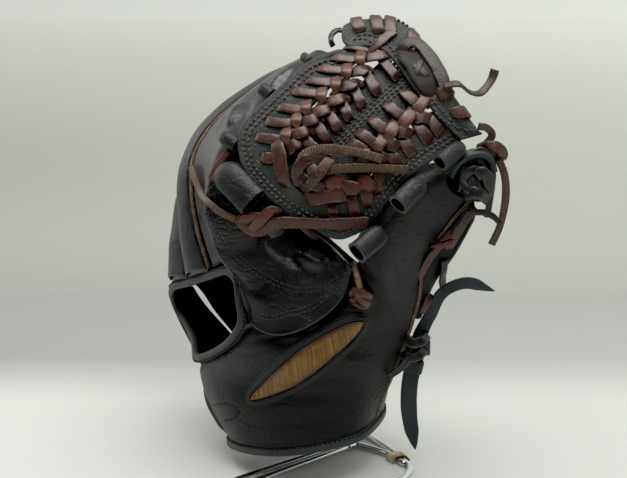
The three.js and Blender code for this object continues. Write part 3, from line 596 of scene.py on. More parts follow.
def to_line(points, line):
    """Each point's distance to a line of points, and how far along that line it lies."""
    a, b = line[:-1], line[1:]
    d = b - a
    length = np.linalg.norm(d, axis=1)
    start = np.concatenate([[0], np.cumsum(length)[:-1]])
    best = np.full(len(points), np.inf)
    along = np.zeros(len(points))
    for k in range(len(d)):
        w = np.clip(((points - a[k]) @ d[k]) / max(length[k] ** 2, 1e-9), 0, 1)
        far = np.linalg.norm(points - a[k] - w[:, None] * d[k], axis=1)
        near = far < best
        best[near] = far[near]
        along[near] = (start[k] + w * length[k])[near]
    return best, along


def ridges(table):
    """Relief of folds drawn over the photograph. Each has a height, a half width and its pixels."""

    def relief(panel, base):
        rise = np.zeros(len(base))
        tree = BVHTree.FromPolygons(base.tolist(), grid_quads(panel.rows, panel.cols).tolist())
        for height, width, pixels in table:
            marks = []
            for u, v in pixels:
                hit = tree.ray_cast(Vector(EYE), Vector(sight(u, v)))[0]
                if hit is not None:
                    marks.append(np.array(hit))
            if len(marks) < 2:
                continue
            line = smooth_line(marks, 3.0)
            far, along = to_line(base, line)
            ends = np.clip(np.minimum(along, along.max() - along) / (1.5 * width) + 0.25, 0, 1)
            rise += height * np.exp(-((far / width) ** 2)) * ends
        return rise

    return relief


STITCH_SHARE = 0.86  # how much of its spacing a stitch takes up
STITCH_RISE, STITCH_DIP = 0.3, 0.55  # how far its middle stands out and its ends dip in, in threads


def stitched(soup, points, normals, thread=THREAD, pitch=STITCH, shade=0.5):
    """A row of stitches along evenly spaced points on the leather, each dipping in at its ends."""
    along = distances(points)
    count = max(1, int(round(along[-1] / pitch)))
    at = (np.arange(count) + 0.5) * along[-1] / count
    centre = read_at(at, along, points)
    face = unit(read_at(at, along, normals))
    way = unit(read_at(at + 0.5, along, points) - read_at(at - 0.5, along, points))
    side = unit(np.cross(way, face))
    rings, sides = 6, 6
    x = np.linspace(-1, 1, rings)
    swell = np.sqrt(np.maximum(1 - np.abs(x) ** 3, 0.03))
    angle = np.arange(sides) / sides * 2 * math.pi
    length = 0.5 * pitch * STITCH_SHARE
    dip = np.repeat(STITCH_RISE - STITCH_DIP * x**2, sides) * thread
    lx = np.repeat(x * length, sides)
    ly = (swell[:, None] * np.cos(angle) * thread / 2).ravel()
    lz = (swell[:, None] * np.sin(angle) * thread / 2).ravel() + dip
    one = lx[:, None, None] * way + ly[:, None, None] * side + lz[:, None, None] * face
    verts = (centre + one).transpose(1, 0, 2).reshape(-1, 3)
    i, j = np.meshgrid(np.arange(rings - 1), np.arange(sides), indexing="ij")
    a, b = (i * sides + j).ravel(), (i * sides + (j + 1) % sides).ravel()
    tube = np.stack([a, b, b + sides, a + sides], axis=1)
    last = (rings - 1) * sides
    caps = [[0, k + 1, k] for k in range(1, sides - 1)]
    caps += [[last, last + k, last + k + 1] for k in range(1, sides - 1)]
    each = np.arange(count) * rings * sides
    quads = (tube[None] + each[:, None, None]).reshape(-1, 4)
    tris = (np.array(caps)[None] + each[:, None, None]).reshape(-1, 3)
    soup.add(verts, quads, tris, shade=shade)


# Cross-sections of strips and cords, as [side, face] offsets

def strip_section(width, thickness, sides=16, power=0.42):
    """A flat strip with softly rounded corners."""
    a = (np.arange(sides) + 0.5) / sides * 2 * math.pi
    x = np.sign(np.cos(a)) * np.abs(np.cos(a)) ** power
    y = np.sign(np.sin(a)) * np.abs(np.sin(a)) ** power
    return np.stack([x * width / 2, y * thickness / 2], axis=1)


def round_section(radius, sides=16):
    a = (np.arange(sides) + 0.5) / sides * 2 * math.pi
    return np.stack([radius * np.cos(a), radius * np.sin(a)], axis=1)


def swept(soup, points, facing, section, closed=False, width=None, height=None, cap=True, **marks):
    """Carries a section along points. facing looks out of its face, and width and height scale it."""
    n, k = len(points), len(section)
    if closed:
        way = unit(np.roll(points, -1, axis=0) - np.roll(points, 1, axis=0))
    else:
        way = unit(np.gradient(points, axis=0))
    facing = np.broadcast_to(facing, (n, 3))
    side = unit(np.cross(way, facing))
    face = np.cross(side, way)
    w = np.ones(n) if width is None else np.asarray(width)
    h = np.ones(n) if height is None else np.asarray(height)
    rings = points[:, None] + side[:, None] * (section[:, 0] * w[:, None])[..., None]
    rings = rings + face[:, None] * (section[:, 1] * h[:, None])[..., None]
    spans = n if closed else n - 1
    i, j = np.meshgrid(np.arange(spans), np.arange(k), indexing="ij")
    a, b = (i * k + j).ravel(), (i * k + (j + 1) % k).ravel()
    c, d = ((i + 1) % n * k + (j + 1) % k).ravel(), ((i + 1) % n * k + j).ravel()
    quads = np.stack([a, b, c, d], axis=1)
    along = distances(points)
    spread = np.abs(section).max(axis=0)
    extra = {
        "across": np.tile(section[:, 0] / spread[0], n),
        "top": np.tile(section[:, 1] / spread[1], n),
        "along": np.repeat(along, k),
    }
    verts = rings.reshape(-1, 3)
    tris = ()
    if cap and not closed:
        verts = np.vstack([verts, points[:1], points[-1:]])
        first, last = n * k, n * k + 1
        around = np.arange(k)
        tris = np.concatenate([
            np.stack([np.full(k, first), (around + 1) % k, around], axis=1),
            np.stack([np.full(k, last), (n - 1) * k + around, (n - 1) * k + (around + 1) % k], axis=1),
        ])
        extra = {m: np.append(v, [0, 0]) for m, v in extra.items()}
        extra["along"][-1] = along[-1]
    # The side vector is way x facing, so the rings run clockwise seen from behind
    soup.add(verts, quads[:, ::-1], tris[:, ::-1] if len(tris) else (), **extra, **marks)


TAPER_REACH, TAPER_POWER = 0.7, 0.6  # how far a lace's taper reaches, in widths, and how blunt it is


def lace(
    soup, points, facing, width=LACE_W, thickness=LACE_T, taper=(1.0, 1.0), shade=None, wander=0.05,
    edge=0.0,
):
    """A rawhide lace along points: its width wanders a little and its ends are cut or tapered."""
    n = len(points)
    along = np.linspace(0, 1, n)
    phase = rng.uniform(0, 6.28, 3)
    wide = 1 + wander * (np.sin(9 * along + phase[0]) + 0.6 * np.sin(23 * along + phase[1]))
    near = TAPER_REACH * width / max(length_of(points), 1e-6)
    for end, reach in zip(taper, (along, 1 - along)):
        wide *= end + (1 - end) * np.clip(reach / near, 0, 1) ** TAPER_POWER
    shade = rng.uniform(0.15, 0.85) if shade is None else shade
    section = strip_section(width, thickness, power=0.55)
    swept(soup, points, facing, section, width=wide, shade=shade, edge=edge)


# Materials

def colour(r, g, b):
    """A shade as the eye reads it, 0 to 255, in the linear values that shaders take."""
    return tuple((c / 255) ** 2.2 for c in (r, g, b)) + (1.0,)


def new_node(tree, kind, inputs=None, **settings):
    """A shader node with its settings, each input a value or another node's output."""
    made = tree.nodes.new("ShaderNode" + kind)
    for key, value in settings.items():
        setattr(made, key, value)
    for key, value in (inputs or {}).items():
        if isinstance(value, bpy.types.NodeSocket):
            tree.links.new(value, made.inputs[key])
        else:
            made.inputs[key].default_value = value
    return made


class Paint:
    """A node material. Sizes are in millimetres."""

    def __init__(self, name, **constants):
        self.material = bpy.data.materials.new(name)
        self.material.use_nodes = True
        self.tree = self.material.node_tree
        self.shader = self.tree.nodes["Principled BSDF"]
        for socket, value in constants.items():
            self.shader.inputs[socket.replace("_", " ")].default_value = value
        self.coords = self.node("TexCoord").outputs["Object"]

    def node(self, kind, inputs=None, **settings):
        return new_node(self.tree, kind, inputs, **settings)

    def stretched(self, scale):
        return self.node("Mapping", {"Vector": self.coords, "Scale": scale}).outputs["Vector"]

    def bent(self, scale, size, reach):
        """Stretched places, each shifted a little at random, slowly from place to place."""
        inputs = {"Vector": self.coords, "Scale": 1 / (size * MM), "Detail": 2.0}
        drift = self.node("TexNoise", inputs).outputs["Color"]
        shift = self.node("VectorMath", {0: drift, "Scale": reach * MM}, operation="SCALE").outputs[0]
        places = {0: self.stretched(scale), 1: shift}
        return self.node("VectorMath", places, operation="ADD").outputs[0]

    def noise(self, size, detail=3.0, distortion=0.0, at=None):
        inputs = {"Vector": at or self.coords, "Scale": 1 / (size * MM), "Detail": detail}
        inputs["Distortion"] = distortion
        return self.node("TexNoise", inputs).outputs["Fac"]

    def cells(self, size, at=None):
        inputs = {"Vector": at or self.coords, "Scale": 1 / (size * MM)}
        return self.node("TexVoronoi", inputs, feature="DISTANCE_TO_EDGE").outputs["Distance"]

    def mark(self, name):
        return self.node("Attribute", attribute_name=name).outputs["Fac"]

    def ramp(self, value, stops):
        ramp = self.node("ValToRGB", {"Fac": value})
        elements = ramp.color_ramp.elements
        while len(elements) < len(stops):
            elements.new(0.5)
        for element, (place, shade) in zip(elements, stops):
            element.position = place
            element.color = shade if isinstance(shade, tuple) else (shade, shade, shade, 1)
        return ramp.outputs["Color"]

    def math(self, kind, a, b=0.0, clamp=False, third=1.0):
        return self.node("Math", {0: a, 1: b, 2: third}, operation=kind, use_clamp=clamp).outputs[0]

    def times(self, a, b, clamp=False):
        return self.math("MULTIPLY", a, b, clamp)

    def sum(self, a, b):
        return self.math("ADD", a, b)

    def mix(self, share, a, b, blend="MIX"):
        inputs = {"Fac": share, "Color1": a, "Color2": b}
        return self.node("MixRGB", inputs, blend_type=blend).outputs["Color"]

    def bump(self, height, depth, under=None):
        inputs = {"Height": height, "Distance": depth * MM, "Strength": 1.0}
        if under is not None:
            inputs["Normal"] = under
        return self.node("Bump", inputs).outputs["Normal"]

    def painted_occlusion_shade(self, base, dark, reach, depth):
        """Painted shade: the base darkened in creases and under neighbours that lie within some reach."""
        near = self.node("AmbientOcclusion", {"Distance": reach * MM}, samples=6).outputs["AO"]
        return self.mix(self.ramp(near, [(0.25, depth), (0.85, 0.0)]), base, dark)

    def finish(self, base, roughness, normal):
        for socket, value in (("Base Color", base), ("Roughness", roughness), ("Normal", normal)):
            if value is not None:
                self.tree.links.new(value, self.shader.inputs[socket])
        return self.material


# Ripples along a lace, a welt and the satin thread, in radians to a millimetre
LACE_RIBS = 3.7
WELT_RIBS = 4.2
SATIN_RIBS = 13.0


def leather(name, dark, light, worn, grain, depth, wrinkle, rough, gloss=0.42):
    """Grained glove leather: pebbled, lightly wrinkled, paler and rubbed along cut edges."""
    dark, light, worn = colour(*dark), colour(*light), colour(*worn)
    p = Paint(name, Specular_IOR_Level=gloss, Sheen_Weight=0.06, Sheen_Roughness=0.5)
    pebble = p.cells(grain)
    pores = p.noise(0.35, 2.0)
    folds = p.noise(3.4, 4.0, 1.2, p.stretched((1.0, 1.0, 0.45)))
    cloudy = p.noise(28, 4.0)
    base = p.mix(p.ramp(cloudy, [(0.3, 0.0), (0.7, 1.0)]), dark, light)
    base = p.mix(p.ramp(pebble, [(0.0, 0.6), (0.14, 0.0)]), base, dark)
    rubbed = p.times(p.ramp(p.mark("edge"), [(0.0, 0.85), (0.06, 0.0)]), p.noise(4, 3.0))
    base = p.mix(rubbed, base, worn)
    # Painted shade: the shade mark darkens the leather towards near black round the web's lace holes and in
    # the tabs' hollows.
    base = p.mix(p.mark("shade"), base, colour(4, 4, 4))
    # Painted shade in creases and under neighbouring parts.
    base = p.painted_occlusion_shade(base, colour(2, 2, 2), 7.0, 0.85)
    spread = p.sum(p.times(cloudy, 0.6), p.times(pores, 0.4))
    roughness = p.ramp(spread, [(0.25, rough[0]), (0.75, rough[1])])
    normal = p.bump(p.ramp(pebble, [(0.0, 0.0), (0.22, 1.0)]), depth)
    normal = p.bump(pores, depth * 0.4, normal)
    normal = p.bump(folds, wrinkle, normal)
    creases = p.ramp(p.cells(8.0, p.bent((1.0, 0.6, 1.7), 9, 6)), [(0.0, 0.0), (0.2, 1.0)])
    where = p.ramp(p.noise(24, 2.0), [(0.42, 0.0), (0.6, 1.0)])
    creases = p.times(p.math("SUBTRACT", creases, 1.0), where)
    normal = p.bump(creases, 0.7 * wrinkle, normal)
    return p.finish(base, roughness, normal)


def rawhide(name, deep, bright, flesh, cut, ribs=0.12, rough=(0.3, 0.5)):
    """Lace leather: a smooth dyed face, a suede back and a paler cut edge, with fine ribs across, and painted
    shade towards the face's borders and in creases.
    """
    deep, bright, flesh, cut = colour(*deep), colour(*bright), colour(*flesh), colour(*cut)
    p = Paint(name, Specular_IOR_Level=0.6, Sheen_Weight=0.05)
    streaks = p.noise(2.2, 4.0, 0.6)
    patches = p.noise(9, 3.0)
    blend = p.sum(p.times(p.mark("shade"), 0.65), p.times(patches, 0.35))
    face = p.mix(p.ramp(blend, [(0.15, 0.0), (0.8, 1.0)]), deep, bright)
    face = p.mix(p.ramp(streaks, [(0.35, 0.45), (0.6, 0.0)]), face, deep)
    border = p.math("ABSOLUTE", p.mark("across"))
    # Painted shade: the face darkens into the cut edge's colour towards its borders, where its rounded edges
    # turn away from the light.
    face = p.mix(p.ramp(border, [(0.45, 0.0), (0.8, 0.75), (0.9, 0.6)]), face, cut)
    face = p.mix(p.ramp(border, [(0.9, 0.0), (0.95, 0.55)]), face, flesh)
    frayed = p.ramp(p.noise(1.6, 2.0), [(0.5, 0.0), (0.6, 1.0)])
    rubbed = p.times(p.ramp(border, [(0.6, 0.0), (0.8, 0.5)]), frayed)
    face = p.mix(rubbed, face, flesh)
    top = p.mark("top")
    base = p.mix(p.ramp(top, [(0.3, 0.0), (0.75, 1.0)]), cut, face)
    back = p.times(top, -1.0)
    base = p.mix(p.ramp(back, [(0.2, 0.0), (0.7, 1.0)]), base, flesh)
    warped = p.sum(p.times(p.mark("along"), LACE_RIBS), p.times(streaks, 2.5))
    rib = p.times(p.math("SINE", warped), p.mark("edge"))
    base = p.mix(p.times(rib, 0.3, True), base, deep)
    # Painted shade in creases and under neighbouring parts.
    base = p.painted_occlusion_shade(base, colour(10, 7, 6), 3.5, 0.9)
    roughness = p.ramp(streaks, [(0.3, rough[0]), (0.7, rough[1])])
    normal = p.bump(p.noise(0.5, 3.0), 0.06)
    normal = p.bump(streaks, 0.16, normal)
    normal = p.bump(rib, ribs, normal)
    return p.finish(base, roughness, normal)


def welt_leather():
    p = Paint("welt_tan", Specular_IOR_Level=0.35)
    rib = p.math("SINE", p.times(p.mark("along"), WELT_RIBS))
    patches = p.noise(5, 4.0)
    base = p.mix(p.ramp(patches, [(0.3, 0.0), (0.7, 1.0)]), colour(104, 88, 70), colour(164, 140, 112))
    base = p.mix(p.ramp(rib, [(0.1, 0.5), (0.7, 0.0)]), base, colour(34, 29, 26))
    # Painted shade in the groove between the welt's two rolls.
    groove = p.ramp(p.math("ABSOLUTE", p.mark("across")), [(0.1, 0.55), (0.35, 0.0)])
    base = p.mix(groove, base, colour(22, 20, 19))
    normal = p.bump(p.noise(0.6, 3.0), 0.1)
    normal = p.bump(rib, 0.14, normal)
    return p.finish(base, p.ramp(patches, [(0.2, 0.55), (0.8, 0.75)]), normal)


def thread(name, dark, light):
    dark, light = colour(*dark), colour(*light)
    p = Paint(name, Specular_IOR_Level=0.4, Sheen_Weight=0.15)
    fuzz = p.noise(0.3, 2.0)
    base = p.mix(p.mark("shade"), dark, light)
    base = p.mix(p.ramp(p.noise(7, 3.0), [(0.35, 0.5), (0.6, 0.0)]), base, dark)
    return p.finish(base, p.ramp(fuzz, [(0.2, 0.5), (0.8, 0.75)]), p.bump(fuzz, 0.1))


def satin_stitch():
    """Gold thread laid side by side in bands, each a little different, with painted highlights along the
    threads and brown painted shade in the grooves between.
    """
    p = Paint("gold_thread", Specular_IOR_Level=0.5, Sheen_Weight=0.2, Metallic=0.25)
    waver = p.noise(2.0, 3.0)
    strands = p.math("SINE", p.sum(p.times(p.mark("along"), SATIN_RIBS), p.times(waver, 5.0)))
    base = p.mix(p.mark("shade"), colour(98, 68, 28), colour(152, 112, 52))
    # Painted highlight along the crest of each thread.
    base = p.mix(p.ramp(strands, [(0.3, 0.0), (1.0, 0.35)]), base, colour(200, 156, 88))
    # Painted shade, brown, in the grooves between the bands.
    base = p.mix(p.ramp(p.mark("top"), [(0.1, 0.95), (0.75, 0.0)]), base, colour(58, 36, 14))
    base = p.mix(p.ramp(p.noise(7, 3.0), [(0.35, 0.5), (0.6, 0.0)]), base, colour(84, 54, 22))
    border = p.ramp(p.math("ABSOLUTE", p.mark("across")), [(0.55, 0.0), (0.95, 0.8)])
    base = p.mix(border, base, colour(52, 34, 14))
    normal = p.bump(p.noise(0.35, 2.0), 0.08)
    return p.finish(base, p.ramp(waver, [(0.2, 0.34), (0.8, 0.52)]), normal)


def chrome():
    p = Paint("chrome", Metallic=1.0)
    smudge = p.noise(14, 4.0)
    pits = p.noise(1.3, 3.0)
    base = p.mix(p.ramp(pits, [(0.66, 0.0), (0.74, 0.8)]), colour(214, 216, 218), colour(108, 92, 76))
    return p.finish(base, p.ramp(smudge, [(0.3, 0.08), (0.7, 0.26)]), p.bump(pits, 0.02))


def worn_tape():
    p = Paint("tape", Specular_IOR_Level=0.3)
    stain = p.noise(5, 5.0, 0.8)
    crumple = p.noise(1.8, 4.0, 1.0)
    base = p.mix(p.ramp(stain, [(0.4, 0.0), (0.62, 1.0)]), colour(214, 200, 168), colour(150, 118, 80))
    base = p.mix(p.ramp(crumple, [(0.62, 0.0), (0.72, 0.9)]), base, colour(70, 54, 40))
    normal = p.bump(crumple, 0.35)
    return p.finish(base, p.ramp(stain, [(0.2, 0.6), (0.8, 0.85)]), normal)


TABLE_SHADE = colour(199, 201, 196)
# Painted light: the wall's colour by height, bright at its top and dimmer down towards the table.
WALL_PAINTED_LIGHT = [
    (0.0, colour(243, 245, 239)), (0.22, colour(234, 236, 228)), (0.48, colour(214, 216, 208)),
    (0.75, colour(172, 174, 169)), (0.9, colour(168, 170, 166)),
]
# Painted light: a glow, emitted by the wall, brightest at its top, and by the table, which lifts their shade.
WALL_GLOW = [(0.0, 0.27), (0.16, 0.17), (0.3, 0.13), (0.5, 0.05), (0.75, 0.02)]
TABLE_GLOW = 0.04
TABLE_END, WALL_START = 0.125, 0.245  # the soft line between them, by depth in metres
EYE_AWAY = 0.85  # the viewer's distance in metres
# Painted light: the wall is made brighter to the right.
WALL_SLOPE, WALL_SIDE = 0.42, 0.4  # how much brighter the wall gets to the right, and up to where


def studio_floor():
    """The pale table runs to a soft line behind the glove, then the wall begins, with painted light: paler
    with its height, brighter to the right, and a painted glow on both.
    """
    p = Paint("studio_floor", Specular_IOR_Level=0.2)
    depth = p.node("SeparateXYZ", {"Vector": p.coords}).outputs["Y"]
    share = p.math("DIVIDE", p.math("SUBTRACT", depth, TABLE_END), WALL_START - TABLE_END, True)
    height = p.math("DIVIDE", 1.0, p.sum(depth, EYE_AWAY))
    sideways = p.times(p.node("SeparateXYZ", {"Vector": p.coords}).outputs["X"], height)
    sideways = p.math("MINIMUM", p.math("MAXIMUM", sideways, -WALL_SIDE), WALL_SIDE)
    brighter = p.math("MULTIPLY_ADD", sideways, WALL_SLOPE)
    wall = p.mix(1.0, p.ramp(height, WALL_PAINTED_LIGHT), brighter, "MULTIPLY")
    speck = p.ramp(p.noise(9, 6.0), [(0.745, 0.0), (0.77, 0.4)])
    table = p.mix(speck, TABLE_SHADE, colour(150, 150, 146))
    base = p.mix(p.ramp(share, [(0.0, 0.0), (1.0, 1.0)]), table, wall)
    # Painted light: the glow of the wall and the table.
    glow = p.mix(1.0, wall, p.ramp(height, WALL_GLOW), "MULTIPLY")
    glow = p.mix(share, (TABLE_GLOW, TABLE_GLOW, 0.95 * TABLE_GLOW, 1), glow)
    p.tree.links.new(glow, p.shader.inputs["Emission Color"])
    p.shader.inputs["Emission Strength"].default_value = 1.0
    return p.finish(base, p.ramp(p.noise(40, 3.0), [(0.2, 0.5), (0.8, 0.65)]), None)


WEB_LEATHER = leather(
    "web_leather", (36, 39, 38), (70, 73, 70), (124, 124, 116), 1.5, 0.17, 0.25, (0.44, 0.6),
)
SHELL = leather("shell_leather", (4, 5, 5), (13, 15, 15), (58, 60, 58), 0.9, 0.08, 0.32, (0.3, 0.44), 0.36)
INDEX_LEATHER = leather(
    "index_leather", (7, 8, 9), (19, 21, 22), (80, 80, 76), 1.0, 0.05, 0.22, (0.22, 0.36), 0.7,
)
BACK = leather("finger_leather", (17, 20, 21), (36, 41, 43), (84, 84, 80), 1.0, 0.06, 0.28, (0.26, 0.4), 0.55)
BOUND = leather("binding_leather", (38, 44, 45), (60, 68, 69), (96, 100, 98), 0.8, 0.06, 0.2, (0.4, 0.55))
PADS = leather("pad_leather", (20, 22, 22), (44, 47, 46), (118, 112, 100), 0.9, 0.06, 0.3, (0.32, 0.46))
LINING = leather("lining_leather", (40, 22, 18), (72, 38, 30), (96, 66, 54), 1.2, 0.08, 0.3, (0.5, 0.7))
INSIDE = leather("inner_leather", (12, 12, 12), (24, 23, 22), (54, 50, 46), 1.2, 0.08, 0.3, (0.55, 0.75))
STRAP = leather("strap_leather", (34, 39, 42), (58, 65, 69), (88, 96, 99), 0.8, 0.1, 0.25, (0.36, 0.52))
BROWN_LACE = rawhide("brown_lace", (41, 20, 14), (103, 64, 48), (132, 106, 86), (32, 20, 16))
DARK_LACE = rawhide(
    "dark_brown_lace", (32, 24, 19), (92, 70, 52), (112, 94, 78), (28, 21, 17), 0.12, (0.42, 0.6),
)
RED_LACE = rawhide("red_lace", (45, 18, 12), (102, 49, 34), (136, 100, 78), (40, 22, 16))
TAIL_LACE = rawhide("tail_lace", (50, 39, 28), (110, 88, 64), (128, 112, 90), (36, 29, 22), 0.2, (0.42, 0.6))
BLACK_LACE_LEATHER = rawhide("black_lace", (9, 10, 11), (34, 37, 38), (44, 44, 42), (60, 60, 56), 0.05)
PIN_LACE = rawhide("pin_lace", (88, 70, 46), (142, 114, 76), (128, 104, 78), (70, 54, 40))
GREY_THREAD = thread("grey_thread", (24, 25, 25), (110, 110, 101))
BLACK_THREAD = thread("black_thread", (14, 15, 15), (44, 46, 46))
WORN_THREAD = thread("worn_thread", (26, 27, 26), (78, 76, 70))
WELT_TAN = welt_leather()
GOLD = satin_stitch()
CHROME = chrome()
TAPE_PAPER = worn_tape()


# The shell's back panels

BEHIND_WEB = np.array([-5.0, 0.5, 6.5])  # how far the thumb's leather runs on behind the web
UNDER_BINDING = np.array([-2.4, 1.6, 3.4])  # how far the thumb's leather runs under the window's binding
BEHIND_THUMB = np.array([5.0, 1.5, 0.0])  # how far the wrist strap runs on behind the thumb


def thumb_surface():
    edge, right = seam(SEAM["thumb_free_edge"]), seam(SEAM["thumb_welt"])
    behind_web = profile([0, 0, 0, 0, 0, 0, 0, 0, 0, 0, 0.1, 1, 1, 1, 0.3])
    under_binding = profile([0, 0, 0, 0.2, 1, 1.3, 1.2, 0.4, 0, 0, 0, 0, 0, 0, 0])

    def left(t):
        return edge(t) + column(behind_web(t)) * BEHIND_WEB + column(under_binding(t)) * UNDER_BINDING

    height = profile([0, 1, 2, 2, 0, -3, -6, -7, -6, -3, 2, 8, 8, 5, 0])
    return swelled(coons(rim_between(0, 5, left, right), seam(THUMB_NOTCH), left, right), height)


def index_surface():
    left, right = seam(SEAM["index_middle"]), seam(SEAM["index_edge"])
    top = between_ends(left, right)[1]
    return swelled(coons(seam(KNUCKLE_SEAM), top, left, right), profile([0, 5, 9, 12, 12, 11, 9, 5]))


def finger_surface(left_rows, right_rows):
    left, right = seam(SEAM[left_rows]), seam(SEAM[right_rows])
    bottom, top = between_ends(left, right)
    return swelled(coons(bottom, top, left, right), profile([7, 9, 11, 11, 10, 8, 5]), 0.8)


def little_surface():
    left, right = seam(SEAM["little_edge"]), seam(SEAM["heel_edge"])
    bottom, top = rim_between(8, 9.1, left, right), between_ends(left, right)[1]
    return swelled(coons(bottom, top, left, right), profile([0, 2, 4, 6, 8, 10, 9, 4]))


def strap_surface():
    left, near = seam(SEAM["strap_far_edge"]), seam(SEAM["strap_near_edge"])
    tucked = profile([1, 1, 1, 0.6, 0, 0, 0, 0, 0])

    def right(t):
        return near(t) + column(tucked(t)) * BEHIND_THUMB

    bottom, top = rim_between(9.2, 11, left, right), between_ends(left, right)[1]
    return coons(bottom, top, left, right)


def palm_surface():
    base = loft(PALM)
    fingers = len(PALM) - 1
    rise = profile([0, 0, -1, -1, 1, 5, 9, 10, 10, 8, 6, 3])

    def surface(s, t):
        bulge = rise(t) * np.abs(np.sin(np.pi * s * fingers)) ** 0.7
        return base(s, t) + column(bulge) * normal_at(base, s, t)

    return surface


# Folds of the leather, drawn over the photograph. Columns: height, half width, pixels.
THUMB_FOLDS = [
    (-0.5, 1.5, [(249, 331), (265, 327), (283, 323), (301, 322)]),
    (0.45, 1.6, [(250, 336), (268, 332), (288, 327), (308, 325)]),
    (-0.4, 1.4, [(247, 342), (266, 339), (290, 334)]),
    (-0.4, 1.6, [(236, 352), (250, 353), (266, 350)]),
    (-0.9, 4, [(352, 268), (362, 284), (372, 300), (376, 318)]),
    (1.2, 5, [(377, 262), (384, 284), (386, 306)]),
    (-0.6, 2.0, [(392, 232), (400, 246), (404, 262)]),
    (0.6, 2.4, [(402, 222), (410, 238), (414, 256)]),
    (-0.5, 1.8, [(380, 250), (392, 262), (398, 280)]),
    (-0.6, 2.0, [(425, 205), (436, 214), (443, 226)]),
    (-0.35, 1.1, [(398, 215), (412, 222), (424, 232)]),
    (-0.35, 1.1, [(392, 226), (404, 232), (416, 243)]),
    (-0.3, 1.0, [(404, 208), (418, 213), (431, 221)]),
    (-0.3, 1.0, [(388, 240), (398, 248), (408, 262)]),
    (-0.35, 1.2, [(300, 316), (318, 312), (336, 305)]),
    (-0.6, 1.2, [(212, 404), (224, 403), (235, 407), (238, 412), (235, 418), (226, 420)]),
]
INDEX_FOLDS = [
    (-9, 8, [(274, 233), (290, 240), (310, 244), (330, 243)]),
    (3.2, 5, [(262, 214), (276, 227), (292, 243), (310, 258), (328, 265)]),
    (-1.6, 3, [(252, 216), (262, 232), (280, 250), (300, 266)]),
    (3.5, 6, [(332, 246), (338, 256), (336, 268)]),
    (-0.9, 1.3, [(199, 212), (206, 232), (214, 252), (221, 266)]),
    (2.6, 5, [(238, 104), (233, 116), (226, 130)]),
    (2.2, 4.5, [(284, 72), (276, 82), (268, 93)]),
    (-1.6, 4, [(252, 100), (246, 110), (240, 122)]),
    (-1.2, 3.5, [(296, 68), (288, 76), (281, 86)]),
]
MIDDLE_FOLDS = [
    (-0.8, 3, [(182, 262), (178, 240), (180, 216)]),
    (0.8, 4, [(186, 210), (190, 186), (198, 160)]),
]

FINGER_SEAMS = {"middle": ("middle_ring", "index_middle"), "ring": ("ring_little", "middle_ring")}
BACKS = {
    "index": index_surface(), "middle": finger_surface(*FINGER_SEAMS["middle"]),
    "ring": finger_surface(*FINGER_SEAMS["ring"]), "little": little_surface(),
}
thumb = Panel(trimmed(thumb_surface(), 0.6 * SEAM_INSET, GAP), relief=ridges(THUMB_FOLDS))
index = Panel(trimmed(BACKS["index"], SEAM_INSET, GAP), relief=ridges(INDEX_FOLDS))
middle = Panel(trimmed(BACKS["middle"], SEAM_INSET, GAP), relief=ridges(MIDDLE_FOLDS))
ring = Panel(trimmed(BACKS["ring"], SEAM_INSET, GAP))
little = Panel(trimmed(BACKS["little"], SEAM_INSET, GAP), spacing=2.0)
strap_back = Panel(trimmed(strap_surface(), GAP), spacing=2.0)
palm = Panel(trimmed(palm_surface(), SEAM_INSET, GAP), PALM_WALL, spacing=2.2)
thumb_front = Panel(trimmed(loft(THUMB_FRONT), SEAM_INSET), PALM_WALL, spacing=1.8)


def clad(panel, name, material, *nodes, inside=INSIDE):
    """The closed wall of a panel as one piece, with its lining."""
    soup = panel.soup()
    soup.build(name, material, "black_leather", nodes, lining=(inside, panel.inside))


clad(thumb, "thumb_panel", SHELL, "thumb_back")
clad(index, "index_panel", INDEX_LEATHER, "index_back")
clad(middle, "middle_finger_panel", BACK, "middle_back")
clad(ring, "ring_finger_panel", BACK, "ring_back")
clad(little, "little_finger_panel", BACK, "little_back")
clad(strap_back, "wrist_strap_panel", BACK, "wrist_strap")
clad(palm, "palm_panel", SHELL, "palm", inside=LINING)
clad(thumb_front, "thumb_front_panel", SHELL, "palm")


# The fingertips: leather across from the back of each finger to its front
TIP_BULGE = 3.0 * np.array([0.5, 0, 0.87])  # how far it bulges up and towards the palm


def tip_surface(back, first, last):
    """From the top edge of a finger's back to the palm's top edge between two of its columns."""
    front = palm_surface()

    def surface(s, t):
        near_top = np.full_like(s, 0.985)
        a, b = back(s, near_top), front(last + (first - last) * s, near_top)
        return a + (b - a) * column(t) + column(np.sin(np.pi * t)) * TIP_BULGE

    return surface


for i, (name, back) in enumerate(BACKS.items()):
    tip = tip_surface(back, i / len(BACKS), (i + 1) / len(BACKS))
    clad(Panel(trimmed(tip, 0.8, 0.1)), name + "_tip_panel", BACK)


# The finger backs' feet, which close the gap above the window's binding
FOOT_DROP = np.array([0, 0, 3.2])  # how far a foot runs down behind the binding
FOOT_INSIDE = 1.5  # how far its upper edge lies under the finger's back


def foot_surface(finger):
    """From behind the binding up to the lower edge of a finger's back, just inside it."""
    edge = between_ends(*(seam(SEAM[rows]) for rows in FINGER_SEAMS[finger]))[0]
    back = BACKS[finger]

    def surface(s, t):
        low = np.full_like(s, 0.04)
        a, b = edge(s) - FOOT_DROP, back(s, low) - FOOT_INSIDE * normal_at(back, s, low)
        return a + (b - a) * column(t)

    return surface


for finger in FINGER_SEAMS:
    clad(Panel(trimmed(foot_surface(finger), 0.3)), finger + "_finger_foot", BACK)

